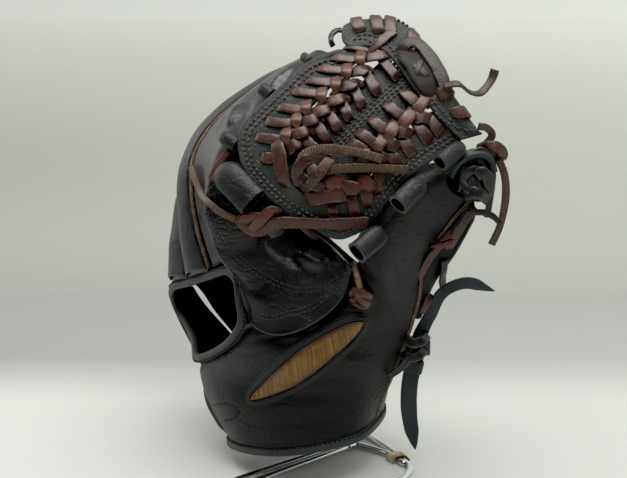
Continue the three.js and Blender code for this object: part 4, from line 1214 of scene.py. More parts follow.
# Stitches on the shell, over the photograph
INDEX_EDGE_ROW = [(247, 316), (265, 317), (287, 314), (309, 308), (324, 298), (335, 288), (340, 278)]
INDEX_INNER_ROW = [
    (210, 212), (219, 233), (233, 252), (252, 268), (274, 282), (293, 289), (311, 290), (327, 286),
    (340, 278),
]
SLOT_ROW = [(214, 405), (224, 404), (233, 406), (238, 412), (234, 418), (224, 421)]
ROW_APART = 2.7  # between the two rows of a double row


def double_row(soup, panel, pixels, shade):
    """Two rows of stitches beside a line over a panel."""
    points, normals = panel.line(pixels)
    way = unit(np.gradient(points, axis=0))
    side = np.cross(way, normals)
    for offset in (-ROW_APART / 2, ROW_APART / 2):
        line, facing = panel.snapped(points + side * offset)
        stitched(soup, line, facing, shade=shade)


index_stitches = Soup()
double_row(index_stitches, index, INDEX_EDGE_ROW, 0.5)
double_row(index_stitches, index, INDEX_INNER_ROW, 0.35)
index_stitches.build("index_stitches", WORN_THREAD, "black_leather")
slot_stitches = Soup()
stitched(slot_stitches, *thumb.line(SLOT_ROW), shade=0.2)
slot_stitches.build("lace_slot_stitches", WORN_THREAD, "black_leather")


# Bindings and welts

THINNED, THIN_CURVE = 0.8, 1.4  # how much thinner a binding gets on the leather, and how suddenly
ROW_SIDE, ROW_UP = 0.34, 0.28  # where its stitches lie, in shares of its width and thickness


def bound_edge(name, rows, centre, node):
    """A rolled strip sewn round an opening, thinner and stitched along the side on the leather."""
    line = smooth_line(rows, 1.6, closed=True)
    outwards = line - np.array([centre[0], centre[1], 0])
    outwards[:, 2] = 0
    soup = Soup()
    roll = strip_section(BINDING_W, BINDING_T, 18)
    half = np.array([BINDING_W, BINDING_T]) / 2
    roll = np.sign(roll) * np.abs(roll / half) ** 1.6 * half
    way = unit(np.roll(line, -1, axis=0) - np.roll(line, 1, axis=0))
    side = unit(np.cross(way, outwards))
    face = np.cross(side, way)
    towards_leather = [0, 0, 1] if name == "wrist_edge" else line - line.mean(axis=0)
    sign = np.sign(np.sum(side * towards_leather, axis=1).mean())
    roll[:, 1] *= 1 - THINNED * np.clip(sign * roll[:, 0] / half[0], 0, 1) ** THIN_CURVE
    swell = 1 + 0.03 * lumps(line, 6.0)
    swept(soup, line, outwards, roll, closed=True, width=swell, height=swell, edge=9.0)
    soup.build(name, BOUND, "black_leather", [node])
    row = line + sign * side * BINDING_W * ROW_SIDE + face * BINDING_T * ROW_UP
    stitches = Soup()
    stitched(stitches, row, unit(face + 0.6 * sign * side), thread=1.3, pitch=3.3, shade=0.1)
    stitches.build(name + "_stitches", BLACK_THREAD, "black_leather")


bound_edge("wrist_edge", RIM, [0, 8], "wrist_binding")
bound_edge("window_edge", WINDOW, [-20, 20], "window_binding")

# A welt's section at its real size: two rolls of leather with a groove between them
WELT_SECTION = np.array([
    [-1.1, -1.1], [1.1, -1.1], [1.1, 0.5], [0.95, 0.95], [0.6, 1.1], [0.25, 0.9], [0, 0.4],
    [-0.25, 0.9], [-0.6, 1.1], [-0.95, 0.95], [-1.1, 0.5],
])


def welt(node, rows, centre):
    """A welt along a seam, facing away from a place inside the glove."""
    line = smooth_line(rows, STEP)
    soup = Soup()
    swept(soup, line, line - np.array(centre), WELT_SECTION[::-1])
    soup.build(node + "_strip", WELT_TAN, "welt_tan", [node])


welt("thumb_welt", SEAM["thumb_welt"], [20, 20, 100])
for rows in ("index_middle", "middle_ring", "ring_little"):
    welt(rows + "_welt", SEAM[rows], [10, 30, 120])


# The web

# The bowl's depth y over x and z: a curved face through its middle, with its slopes and bends there
BOWL_X, BOWL_Z, BOWL_Y = 25, 220, -68.8
SLOPE_X, SLOPE_Z = -0.091, 0.288
BEND_XX, BEND_XZ, BEND_ZZ = 0.00288, -0.00199, 0.00626


def web_point(xz, lift=0.0):
    """The place on the web's bowl at some x and z, lifted off it towards the viewer."""
    xz = np.asarray(xz, float)
    x, z = xz[..., 0], xz[..., 1]
    a, b = x - BOWL_X, z - BOWL_Z
    y = BOWL_Y + SLOPE_X * a + SLOPE_Z * b + BEND_XX * a * a + BEND_XZ * a * b + BEND_ZZ * b * b
    dx = SLOPE_X + 2 * BEND_XX * a + BEND_XZ * b
    dz = SLOPE_Z + BEND_XZ * a + 2 * BEND_ZZ * b
    slope = np.stack([dx, -np.ones_like(a), dz], axis=-1)
    return np.stack([x, y, z], axis=-1) + unit(slope) * column(np.asarray(lift, float) + 0 * x)


def web_normal(xz):
    return web_point(xz, 1.0) - web_point(xz, 0.0)


def web_at(u, v, lift=0.0):
    """The place off the web's bowl that a pixel of the photograph shows."""
    at = np.array([BOWL_X, BOWL_Z], float)
    for _ in range(12):
        p = web_point(at, lift)
        at = at + (seen_at(u, v, p[1]) - p)[[0, 2]]
    return web_point(at, lift)


def band(first, second, lift):
    """A surface on the web between two edges given in x and z."""

    def surface(s, t):
        a, b = catmull(first, t), catmull(second, t)
        return web_point(a + (b - a) * column(s), lift)

    return surface


STITCH_ROWS = (4.4, 7.4)  # distances of the two stitch rows from a sewn edge
BEAD, BEAD_AT, BEAD_HALF = 0.45, 2.2, 1.4  # height, place and half width of a sewn edge's bead
GROOVE, GROOVE_HALF = 0.75, 0.9  # depth and half width of the groove under a stitch row
HOLE_DENT, HOLE_REACH = 1.1, 3.0  # depth of the dent round a lace hole, and how far it reaches


def beaded(edge_rows):
    """Relief of a sewn edge: a raised bead along it and a groove under each of the two stitch rows."""
    line = web_point(smooth_line(edge_rows, 2.0), LEATHER)

    def relief(panel, base):
        far, along = to_line(base, line)
        rise = BEAD * np.exp(-(((far - BEAD_AT) / BEAD_HALF) ** 2))
        for row in STITCH_ROWS:
            pucker = 0.75 + 0.25 * np.cos(2 * math.pi * along / STITCH)
            rise -= GROOVE * np.exp(-(((far - row) / GROOVE_HALF) ** 2)) * pucker
        return rise

    return relief


def dented(relief, holes):
    """Adds the dent round each lace hole, given as pixels of the photograph, and keeps the painted shade
    round the holes on the panel.
    """
    centres = np.array([web_at(u, v, LEATHER) for u, v in holes])

    def both(panel, base):
        rise = relief(panel, base)
        far = np.min(np.linalg.norm(base[:, None] - centres[None], axis=2), axis=1)
        # Painted shade round each lace hole, strongest at its middle.
        panel.dark = np.clip(1.25 - far / HOLE_REACH, 0, 1)
        return rise - HOLE_DENT * np.exp(-((far / (0.8 * HOLE_REACH)) ** 2))

    return both


# Lace holes along both sides of the two rows of lacing, as pixels of the photograph
UPPER_LEFT = [(333, 57), (319, 68), (307, 80), (293, 91), (278, 107), (266, 121), (256, 137), (262, 157)]
UPPER_RIGHT = [(396, 77), (377, 92), (362, 105), (349, 118), (338, 129), (327, 141), (316, 150)]
LOWER_LEFT = [(404, 92), (388, 105), (373, 120), (361, 133), (353, 144)]
LOWER_RIGHT = [(442, 132), (429, 142), (413, 155), (400, 166), (377, 192), (367, 206), (355, 216)]
OTHERS = [(283, 184), (348, 46), (333, 216)]
HOLES = UPPER_LEFT + UPPER_RIGHT + LOWER_LEFT + LOWER_RIGHT + OTHERS

frame_leather = Panel(
    band(WEB["frame_inner"], WEB["frame_outer"], LEATHER), spacing=1.3,
    relief=dented(beaded(WEB["frame_outer"]), HOLES), creases=0.25,
)
tongue_leather = Panel(
    band(WEB["tongue_right"], WEB["tongue_left"], -GAP), spacing=1.3,
    relief=dented(lambda panel, base: np.zeros(len(base)), HOLES), creases=0.25,
)


DRAWN_IN, ROUNDED = 0.085, 0.05  # how far the top strip's left end is drawn in, and rounded
TOP_RISE, TOP_RISE_TO = 2.0, 0.62  # height and reach of the roll along its outer edge


def top_band():
    """The strip over the web's top, its left end drawn in and rounded."""
    whole = band(WEB["top_outer"], WEB["top_inner"], 2 * LEATHER + GAP)
    return lambda s, t: whole(s, t + (DRAWN_IN + ROUNDED * (2 * s - 1) ** 2) * (1 - t) ** 3)


top_leather = Panel(
    top_band(), spacing=1.3, creases=0.5,
    relief=lambda panel, base: TOP_RISE * np.sin(np.pi * np.clip(panel.s / TOP_RISE_TO, 0, 1)),
)


def clad_web(panel, name, node):
    """A leather of the web, with painted shade round its lace holes, and lined on its inside."""
    soup = panel.soup()
    dark = getattr(panel, "dark", np.zeros(len(panel.outer)))
    # The painted shade round the lace holes goes on the outer face.
    soup.marks[0][:, MARKS.index("shade")] = np.concatenate([dark, 0 * dark])
    soup.build(name, WEB_LEATHER, "black_leather", [node], lining=(INSIDE, panel.inside))


clad_web(frame_leather, "web_frame_leather", "web_frame")
clad_web(tongue_leather, "web_tongue_leather", "web_tongue")
clad_web(top_leather, "web_top_leather", "web_top_strip")


def inset(rows, distance, towards):
    """A line in x and z moved sideways by a distance, to the side where a point lies."""
    line = smooth_line(rows, 1.0)
    way = unit(np.gradient(line, axis=0))
    side = np.stack([-way[:, 1], way[:, 0]], axis=1)
    side = side * np.sign(np.sum(side * (np.array(towards) - line), axis=1))[:, None]
    return line + side * distance


# The web's stitches. Both rows are given in pixels, and repeated to the side by each offset.
FRAME_MIDDLE = (30, 215)
TONGUE_ROW = [(337, 143), (352, 129), (370, 111), (388, 94), (405, 77), (416, 66)]
TONGUE_OFFSETS = (-5, -1.5, 2.5, 6)
TOP_ROW = [(352, 40), (364, 39), (380, 46), (396, 66), (408, 82), (421, 97), (438, 116), (455, 135)]
TOP_OFFSETS = (0, 4.5)
WEB_PITCH = 3.4
web_stitches = Soup()
for row in STITCH_ROWS:
    line = inset(WEB["frame_outer"], row, FRAME_MIDDLE)
    on_frame = frame_leather.snapped(web_point(line, LEATHER))
    stitched(web_stitches, *on_frame, thread=1.6, pitch=WEB_PITCH, shade=0.5)
for offset in TONGUE_OFFSETS:
    marks = [(u + 0.7 * offset, v + 0.7 * offset) for u, v in TONGUE_ROW]
    stitched(web_stitches, *tongue_leather.line(marks), thread=1.5, pitch=WEB_PITCH, shade=0.4)
for offset in TOP_OFFSETS:
    marks = [(u + offset, v - offset) for u, v in TOP_ROW]
    stitched(web_stitches, *top_leather.line(marks), thread=1.5, pitch=WEB_PITCH, shade=0.4)
web_stitches.build("web_stitches", GREY_THREAD, "black_leather")


def over_web(marks):
    """A smooth line over the web through pixels with lifts, and its facings."""
    points = np.array([web_at(u, v, lift) for u, v, lift in marks])
    line = smooth_line(points, FINE_STEP)
    return line, web_normal(line[:, [0, 2]])


def strand(soup, marks, **options):
    """A lace over the web."""
    line, facing = over_web(marks)
    lace(soup, line, facing, **options)
    return line


def strands(soup, table, **options):
    """Laces over the web, each with its marks, width and shade."""
    for marks, width, shade in table:
        strand(soup, marks, width=width, shade=shade, **options)


def free_strap(soup, points, facing, **options):
    """A lace off the web, through points in space."""
    line = smooth_line(points, STEP)
    lace(soup, line, facing, **options)
    return line


PATH_SPANS = 24


def declare_lace(line, width):
    """Works out the path of a lace or strap, starting where its points do, and its length; it keeps neither.
    """
    path = (resampled(line, count=PATH_SPANS) - MIDDLE) * MM
    length = float(length_of(path))


def one_lace(name, material, slot, nodes, points, facing=None, lay=None, **options):
    """A piece of one lace: over the web without a facing; where it has a lay, its path and length are worked
    out and not kept.
    """
    soup = Soup()
    line = strand(soup, points, **options) if facing is None else free_strap(soup, points, facing, **options)
    piece = soup.build(name, material, slot, nodes)
    if lay:
        declare_lace(line, options["width"])


# Lacing. Each pass of the upper row starts at a left hole. Columns, in pixels: from the hole to the
# middles of its two wraps, how far the second one reaches past its middle, the start of the last strand.
UPPER_PASSES = [
    ((27, 1.5), (43.5, -1), 12, (50, 3)), ((27.5, 3.5), (43.5, 2.5), 6.5, (49, 8)),
    ((28.5, 4.5), (45.5, 4.5), 6, (48, 11)), ((28, 4.5), (45, 8.5), 8, (51, 15)),
    ((27.5, 1.5), (44.5, 3.5), 9, (53, 9)), ((30, 0), (45.5, -1), 9, (52, 5)),
    ((29.5, -1), (45.5, -4.5), 9, (50, 3)),
]


# The four strands of a pass, in pixels with lifts, each from the place named beside it
FROM_HOLE = [(-1, 0.5, 0.2), (3, 0.3, 3.0), (12, 1.5, 3.6), (22, 2.5, 3.2), (30, 3, 1.2)]  # the left hole
LAST_START = [(-5, -6, 1.0), (0, 0, 2.8)]  # the start of the last strand
LAST_MIDDLE = (0.55, 3.8)  # its share of the way from that start to the right hole, and its lift
LAST_END = [(-1, -2, 3.0), (1.5, 2, 0)]  # the right hole
SECOND_START = [(-13, 4, 2.2), (-9, 2, 4.6), (0, 0, 5.6)]  # the middle of the second wrap
SECOND_END = [(-5, -1.5, 5.0), (-1, -0.5, 2.6), (0, 3, 0.6)]  # where that wrap ends
FIRST_WRAP = [(2, -8, 0.6), (1, -6, 4.2), (0, 0, 6.6), (-1, 5.5, 4.8), (-2, 8, 0.8)]  # its middle


def moved(place, marks):
    """Marks measured from a place, as pixels with lifts."""
    return [(place[0] + u, place[1] + v, lift) for u, v, lift in marks]


def upper_pass(soup, hole, exit_hole, first, second, reach, last):
    """One pass of lacing: a strand from the left hole, two wraps over the middle, a strand to the right."""
    strand(soup, moved(hole, FROM_HOLE), width=6.0, shade=rng.uniform(0.35, 0.75))
    start = hole[0] + last[0], hole[1] + last[1]
    share, lift = LAST_MIDDLE
    between = [(1 - share) * a + share * b for a, b in zip(start, exit_hole)]
    marks = moved(start, LAST_START) + [(*between, lift)] + moved(exit_hole, LAST_END)
    strand(soup, marks, width=6.4, shade=rng.uniform(0.1, 0.5))
    middle = hole[0] + second[0], hole[1] + second[1]
    marks = moved(middle, SECOND_START) + moved((middle[0] + reach, middle[1]), SECOND_END)
    strand(soup, marks, width=7.0, shade=rng.uniform(0.15, 0.55))
    middle = hole[0] + first[0], hole[1] + first[1]
    strand(soup, moved(middle, FIRST_WRAP), width=6.8, shade=rng.uniform(0.75, 1.0))


upper = Soup()
for hole, exit_hole, row in zip(UPPER_LEFT, UPPER_RIGHT, UPPER_PASSES):
    upper_pass(upper, hole, exit_hole, *row)
# Strands outside those passes. Columns: pixels and lifts, width, shade.
UPPER_EXTRAS = [
    ([(346, 47, 0.2), (350, 46, 3.4), (358, 47, 3.8), (369, 49, 2.6)], 6.2, 0.35),
    ([(395, 31, 8), (388, 35, 7.4), (379, 43, 6.0), (370, 50, 3.0), (365, 53, 1)], 6.4, 0.6),
    ([(261, 157, 0.2), (264, 157.5, 3.2), (270, 158, 3.4), (277, 157, 2)], 6.6, 0.5),
    ([(276, 139, 0.6), (277.5, 143.5, 4.4), (279, 155, 5.6), (282, 172, 4.6), (284, 182, 3), (284, 186, 0)],
     8.6, 0.3),
    ([(285, 153, 1), (289, 149, 4.2), (295, 144, 4.8), (301, 142, 3), (306, 143, 1)], 7.6, 0.3),
    ([(346, 90, -1.5), (334, 103, -1.5), (318, 122, -1.5), (303, 143, -1.5)], 10, 0.0),
    ([(345, 98, -2), (329, 117, -2), (313, 134, -2), (303, 150, -2), (300, 160, -2)], 12, 0.0),
]
strands(upper, UPPER_EXTRAS)
upper.build("web_lacing_upper", BROWN_LACE, "brown_lace", ["lattice_upper"])

# Strands of the lower row. Columns: pixels and lifts, width, shade.
LOWER_STRANDS = [
    ([(400, 125, -1.5), (391, 134, -1.5), (376, 152, -1.5)], 7, 0.0),
    ([(384, 142, -2), (372, 156, -2), (362, 172, -2), (352, 190, -2)], 12, 0.0),
    ([(366, 150, -2), (352, 172, -2), (342, 192, -2), (338, 206, -2)], 12, 0.0),
    ([(403, 90, 0), (405, 93, 2.8), (411, 98, 3.6), (418, 104, 2.8), (421, 107, 1)], 6.8, 0.35),
    ([(386, 103, 0), (389, 106, 2.8), (395, 111, 3.6), (403, 117, 2.8), (407, 120, 1)], 6.8, 0.3),
    ([(371, 118, 0), (374, 121, 2.8), (380, 126, 3.6), (388, 132, 2.8), (391, 135, 1)], 6.8, 0.4),
    ([(359, 131, 0), (362, 134, 2.8), (369, 139, 3.6), (377, 145, 2.8), (380, 148, 1)], 6.8, 0.35),
    ([(350, 142, 0), (353, 144, 2.8), (360, 148, 3.4), (369, 154, 2.4), (373, 157, 1)], 6.8, 0.3),
    ([(428, 114, 1), (431, 118, 2.8), (436, 127, 3.4), (440, 133, 2.4), (442, 136, 0)], 7.2, 0.3),
    ([(417, 123, 1), (419, 127, 2.8), (424, 134, 3.4), (428, 140, 2.4), (430, 144, 0)], 7.4, 0.25),
    ([(402, 137, 1), (404, 141, 2.8), (408, 148, 3.4), (412, 154, 2.4), (414, 158, 0)], 7.4, 0.25),
    ([(389, 150, 1), (391, 154, 2.8), (395, 160, 3.4), (399, 165, 2.4), (401, 169, 0)], 7.4, 0.25),
    ([(374, 164, 1), (377, 169, 2.8), (379, 179, 3.4), (378, 189, 2.4), (377, 194, 0)], 7.0, 0.3),
    ([(361, 184, 1), (364, 189, 2.8), (367, 197, 3.4), (368, 204, 2.4), (368, 208, 0)], 6.8, 0.2),
    ([(351, 193, 1), (352, 199, 2.8), (354, 207, 3.4), (355, 214, 2.4), (355, 218, 0)], 6.4, 0.35),
    ([(333, 203, 1), (333, 208, 2.6), (333, 213, 2.6), (333, 219, 0)], 6.4, 0.1),
    ([(424, 106, 2), (429, 101, 3.8), (436, 92, 4.6), (442, 84, 4.2)], 6.6, 0.55),
    ([(411, 121, 1), (415, 118, 3.6), (422, 117, 4.4), (429, 119, 3.4), (432, 121, 1)], 7.6, 0.3),
    ([(394, 135, 1), (398, 132, 3.8), (404, 132, 4.6), (409, 134, 3.4), (412, 137, 1)], 7.6, 0.25),
    ([(382, 148, 1), (386, 145, 3.8), (391, 145, 4.6), (397, 147, 3.4), (400, 150, 1)], 7.6, 0.25),
    ([(369, 160, 1), (373, 157, 3.8), (379, 157, 4.6), (386, 160, 3.4), (389, 163, 1)], 7.6, 0.25),
    ([(428, 93, 1), (426, 97, 4.2), (422, 104, 5.6), (417, 111, 4.4), (414, 115, 1)], 7.2, 0.8),
    ([(414, 108, 1), (412, 112, 4.2), (407, 119, 5.8), (402, 126, 4.6), (399, 130, 1)], 7.2, 0.95),
    ([(397, 121, 1), (395, 125, 4.2), (391, 132, 5.8), (388, 139, 4.6), (386, 143, 1)], 7.2, 0.85),
    ([(385, 135, 1), (383, 139, 4.2), (379, 145, 5.8), (376, 151, 4.6), (374, 155, 1)], 7.2, 0.9),
    ([(371, 148, 1), (369, 152, 4.2), (365, 158, 5.6), (361, 164, 4.4), (359, 168, 1)], 7.2, 0.8),
    ([(324, 191, 1), (329, 185, 4.4), (336, 181, 5.4), (343, 182, 4), (347, 185, 1.4)], 8.4, 0.75),
    ([(341, 192, 1.4), (344, 188, 4.6), (352, 188, 5.4), (359, 190, 4.4), (362, 193, 1.4)], 8.8, 0.3),
    ([(359, 176, 1), (362, 179, 4.4), (367, 183, 5.2), (372, 188, 4.4), (375, 192, 1)], 7.6, 0.55),
    ([(306, 200, 0.2), (310, 199, 3.0), (324, 197, 4.0), (338, 195, 4.6), (346, 194, 3)], 8.8, 0.4),
]
LOWEST_ROW = 174  # the pixel row from which the lace is redder
lower, lowest = Soup(), Soup()
for marks, width, shade in LOWER_STRANDS:
    soup = lowest if marks[2][1] > LOWEST_ROW else lower
    strand(soup, marks, width=width, shade=shade)
lower.build("web_lacing_lower", BROWN_LACE, "brown_lace", ["lattice_lower"])
lowest.build("web_lacing_lowest", RED_LACE, "brown_lace", ["lattice_lower"])


# The knot in the middle of the web and its two tails
WEB_KNOT_TAILS = [
    [(303, 171, 4), (300, 163, 7), (304, 155, 8.4), (315, 150, 9), (332, 149, 9), (350, 151, 8.6),
     (366, 154.5, 8), (382, 159.5, 7.6)],
    [(320, 172, 6), (332, 169.5, 7.2), (350, 168, 7), (373, 168, 7), (392, 169, 7), (409, 170, 7)],
]
WEB_KNOT_BANDS = [
    ([(300, 186, 1), (297, 177, 5), (299, 167, 8), (306, 160, 9), (315, 158, 8.5), (323, 161, 7),
      (327, 167, 4)], 7.0, 0.15),
    ([(303, 190, 1), (309, 184, 6), (317, 176, 9.5), (323, 168, 9), (330, 160, 7), (334, 157, 5)], 7.0, 0.5),
    ([(296, 172, 3), (303, 178, 7), (311, 184, 8), (320, 187, 6), (325, 189, 3)], 6.5, 0.0),
    ([(309, 160, 6), (312, 168, 9), (313, 177, 10), (310, 186, 8)], 6.0, 0.1),
]
for i, marks in enumerate(WEB_KNOT_TAILS):
    name = "web_knot_tail_" + str(i + 1)
    one_lace(name, TAIL_LACE, "brown_lace", ["web_knot"], marks, lay="loose", width=5.4, shade=0.45, edge=1.0)
web_knot = Soup()
strands(web_knot, WEB_KNOT_BANDS, thickness=2.2)
web_knot.build("web_knot_lace", BROWN_LACE, "brown_lace", ["web_knot"])

# The red-brown lace that is knotted at the index finger, with both its tails
INDEX_TAIL = [(195, 167), (198, 178), (203, 190), (210, 202), (220, 211), (231, 217), (241, 220)]
INDEX_LOOP = [
    (238, 218, 3), (243, 224, 5), (250, 230.5, 6.5), (259, 232, 7), (267, 228.5, 7), (272, 223, 7),
    (281, 222, 8),
]
INDEX_KNOT = [
    ([(241, 228, 2), (243, 222, 5), (250, 217.5, 6.5), (259, 217, 7), (267, 220, 6)], 6.0, 0.6),
    ([(250, 234, 2), (254, 228, 8), (261, 220.5, 9.5), (267, 213.5, 9), (273, 210.5, 8), (279, 213, 5)],
     6.2, 0.85),
    ([(246, 224, 4), (254, 225, 5), (263, 226, 5)], 5.0, 0.0),
]
INDEX_RUN = [
    (276, 223.5, 8), (284, 222.5, 9), (300, 223, 7.4), (318, 223.5, 6.6), (340, 223.5, 6.4), (368, 222, 6.4),
]
one_lace(
    "index_lace_tail", TAIL_LACE, "brown_lace", ["index_knotted_lace"],
    [index.at(u, v, 2.4)[0] for u, v in reversed(INDEX_TAIL)], [-0.3, -0.9, 0.25], "loose",
    width=4.4, shade=0.8, edge=0.5,
)
knotted = Soup()
strand(knotted, INDEX_LOOP, width=6.2, shade=0.55, thickness=2.4)
strands(knotted, INDEX_KNOT, thickness=2.4)
one_lace(
    "index_lace_run", RED_LACE, "brown_lace", ["index_knotted_lace"], INDEX_RUN, lay="loose",
    width=7.0, shade=0.4, thickness=2.2, edge=1.0,
)
knotted.build("index_knotted_lace_strip", RED_LACE, "brown_lace", ["index_knotted_lace"])


# Lace wrapped over the web's top edge
EDGE_WRAPS = (0.21, 0.31, 0.38, 0.51, 0.735, 0.83)


def edge_wraps():
    """Wraps over the edge, at places along it, and the lace that joins them behind."""
    soup = Soup()

    def at(t, s, lift):
        a, b = catmull(WEB["top_inner"], [t])[0], catmull(WEB["top_outer"], [t])[0]
        return web_point(a + (b - a) * s, lift)

    front = 2 * LEATHER + 2 * GAP + LACE_T / 2 + 1.6
    back = LEATHER - LACE_T / 2 - 1.4
    over = [
        (0.5, front - 2.6), (0.57, front - 0.8), (0.78, front), (0.93, front - 0.8),
        (1.0, front - 2.8), (1.01, front - 5.0), (0.98, back + 0.6), (0.88, back), (0.66, back),
    ]
    for t in EDGE_WRAPS:
        line = smooth_line([at(t, s, lift) for s, lift in over], 0.6)
        along = at(t + 0.02, 0.8, 0) - at(t - 0.02, 0.8, 0)
        facing = unit(np.cross(along, unit(np.gradient(line, axis=0))))
        lace(soup, line, facing, width=7.6, thickness=2.8, shade=rng.uniform(0.2, 0.7))
    first, last = 0.18, 0.86
    behind = [at(first + (last - first) * i / 8, 0.72, back) for i in range(9)]
    lace(soup, smooth_line(behind, 1.0), [0, -1, 0], width=4)
    soup.build("web_edge_wraps", BROWN_LACE, "brown_lace", ["web_edge_lace"])


edge_wraps()

CORNER_LOOP = [(348, 33, -2), (343, 30.5, 0), (337, 30.5, 0), (332, 34.5, 0), (331, 41, 0), (333, 46, -3)]
one_lace(
    "web_corner_loop", BLACK_LACE_LEATHER, "black_lace", [], CORNER_LOOP,
    width=3.4, thickness=2.4, shade=0.4,
)

# The brown lace over the web's right corner, and its tail that curls into the air
RIM_RUN = [
    (401, 52, 5), (405, 45, 8), (412, 42, 9.4), (419, 44, 9.6), (429, 55, 9.6), (437, 67, 9.4), (443, 80, 9),
    (447, 92, 8), (449, 102, 6),
]
RIM_TAIL = [
    [78, -65, 256], [86, -66, 257.5], [94, -56, 252], [102, -48, 251], [109, -44, 259], [111, -44, 265],
]
CORNER_ROLL = [(402, 47, 3), (411, 56, 6), (421, 70, 6.6), (430, 84, 6), (437, 97, 3)]
CORNER_KNOT = [
    ([(409, 60, 5), (417, 66, 8.4), (425, 74, 8.4), (430, 83, 6)], 4.6, 0.0),
    ([(417, 56, 5), (420, 63, 8.8), (418, 72, 8.8), (421, 80, 6)], 4.0, 0.0),
]
one_lace(
    "web_corner_roll", INSIDE, "black_leather", [], CORNER_ROLL,
    width=17, thickness=4, taper=(0.5, 0.5), shade=0.2,
)
rim_lace = Soup()
strands(rim_lace, CORNER_KNOT)
strand(rim_lace, RIM_RUN, width=8.0, thickness=2.4, taper=(1.0, 0.5), shade=0.1, edge=0.2)
one_lace(
    "web_rim_lace_tail", DARK_LACE, "brown_lace", ["web_rim_lace"], RIM_TAIL, [0, -0.6, 0.8], "hanging",
    width=5.2, shade=0.35, edge=0.3,
)
rim_lace.build("web_rim_lace_strip", DARK_LACE, "brown_lace", ["web_rim_lace"])


# Rolled leather tabs. Each is a short tube, open where it shows. Columns: name, node, axis in pixels and
# depths y from the open end to the closed one, width, depth.
TABS = [
    ("tab_thumb_low", "web_tab_thumb_3", [(357, 253, -91), (369, 243, -84), (385, 229, -77)], 13.5, 9),
    ("tab_thumb_mid", "web_tab_thumb_2", [(398, 205, -91), (409, 194, -84), (424, 180, -77)], 12.5, 9),
    ("tab_thumb_high", "web_tab_thumb_1", [(440, 163, -84), (450, 155, -78), (464, 145, -70)], 10.5, 8),
    ("tab_index_low", "web_tab_index_4", [(253, 202, -64), (238, 186, -58), (219, 167, -48)], 20, 11),
    ("tab_index_mid", "web_tab_index_3", [(236, 145, -47), (229, 140, -45), (221, 136, -40)], 9, 7),
    ("tab_index_high", "web_tab_index_2", [(271, 95, -34), (266, 91, -32), (260, 87, -28)], 8.5, 7),
    ("tab_index_tip", "web_tab_index_1", [(309, 61, -26), (306, 58, -24), (302, 56, -20)], 6, 5),
]
TAB_WALL = 1.4
CLOSES_FROM = 0.62  # where along it a tab starts to close
HOLLOW_TO = 0.7  # how far along it a tab is hollow


def rolled_tab(name, node, axis, width, depth):
    """A tube of leather, pinched shut at one end, with a lip and a hollow painted near black as shade at the
    other.
    """
    line = smooth_line(seen(axis), STEP)
    n = len(line)
    along = np.linspace(0, 1, n)
    closed = ((along - CLOSES_FROM) / (1 - CLOSES_FROM)).clip(0, 1)
    closing = np.sqrt(np.clip(1 - closed**2.2, 0.0025, 1))
    lip = 1 + 0.05 * np.exp(-((along / 0.05) ** 2))
    sides = 36
    a = np.arange(sides) / sides * 2 * math.pi
    x = np.sign(np.cos(a)) * np.abs(np.cos(a)) ** 0.8
    y = np.sign(np.sin(a)) * np.abs(np.sin(a)) ** 0.9
    outer = np.stack([x * width / 2, y * depth / 2], axis=1)
    facing = -np.array([0.1, 1.0, -0.15])
    soup = Soup()
    wide, high = closing * lip * (1 + 0.035 * lumps(line, 5.0)), closing * lip
    swept(soup, line, facing, outer, width=wide, height=high, cap=False, edge=8.0)
    hollow = line[: int(HOLLOW_TO * n)]
    shut = closing[: len(hollow)]
    wide, high = shut * (1 - 2 * TAB_WALL / width), shut * (1 - 1.5 * TAB_WALL / depth)
    # The hollow's inner wall, painted near black: painted shade.
    swept(soup, hollow, facing, outer, width=wide, height=high, cap=False, shade=0.95, edge=8.0)
    mouth = np.concatenate([soup.points[0][:sides], soup.points[1][:sides], soup.points[1][-sides:]])
    around = np.arange(sides)
    turned = np.roll(around, -1)
    lip_faces = np.stack([around, turned, turned + sides, around + sides], axis=1)
    floor_faces = np.stack([np.full(sides, 2 * sides), around + 2 * sides, turned + 2 * sides], axis=1)
    # The lip, and a disc of painted shade that closes the hollow's far end.
    soup.add(mouth, lip_faces, floor_faces, shade=np.repeat([0.0, 0.0, 1.0], sides))
    soup.build(name, PADS, "black_lace", [node])


for tab in TABS:
    rolled_tab(*tab)


# The pin of lace in the thumb's crotch. Columns of its knot: pixels and lifts, width, shade.
PIN_RUN = [(356, 259), (358, 267), (361, 276), (363, 286), (364, 292)]
PIN_KNOT = [
    ([(354, 296, 1.5), (357, 291, 4), (362, 288.5, 5), (368, 291, 4), (371, 296, 1.5)], 5.0, 0.9),
    ([(353, 298, 1.5), (357, 302, 4), (363, 303, 4.6), (369, 300, 1.5)], 5.0, 0.7),
    ([(357, 289, 2), (361, 295, 6), (365, 301, 5.4), (367, 304, 2)], 4.8, 1.0),
]


def on_panel(panel, marks):
    """A smooth line over a panel through pixels with lifts."""
    return smooth_line([panel.at(*mark)[0] for mark in marks], FINE_STEP)


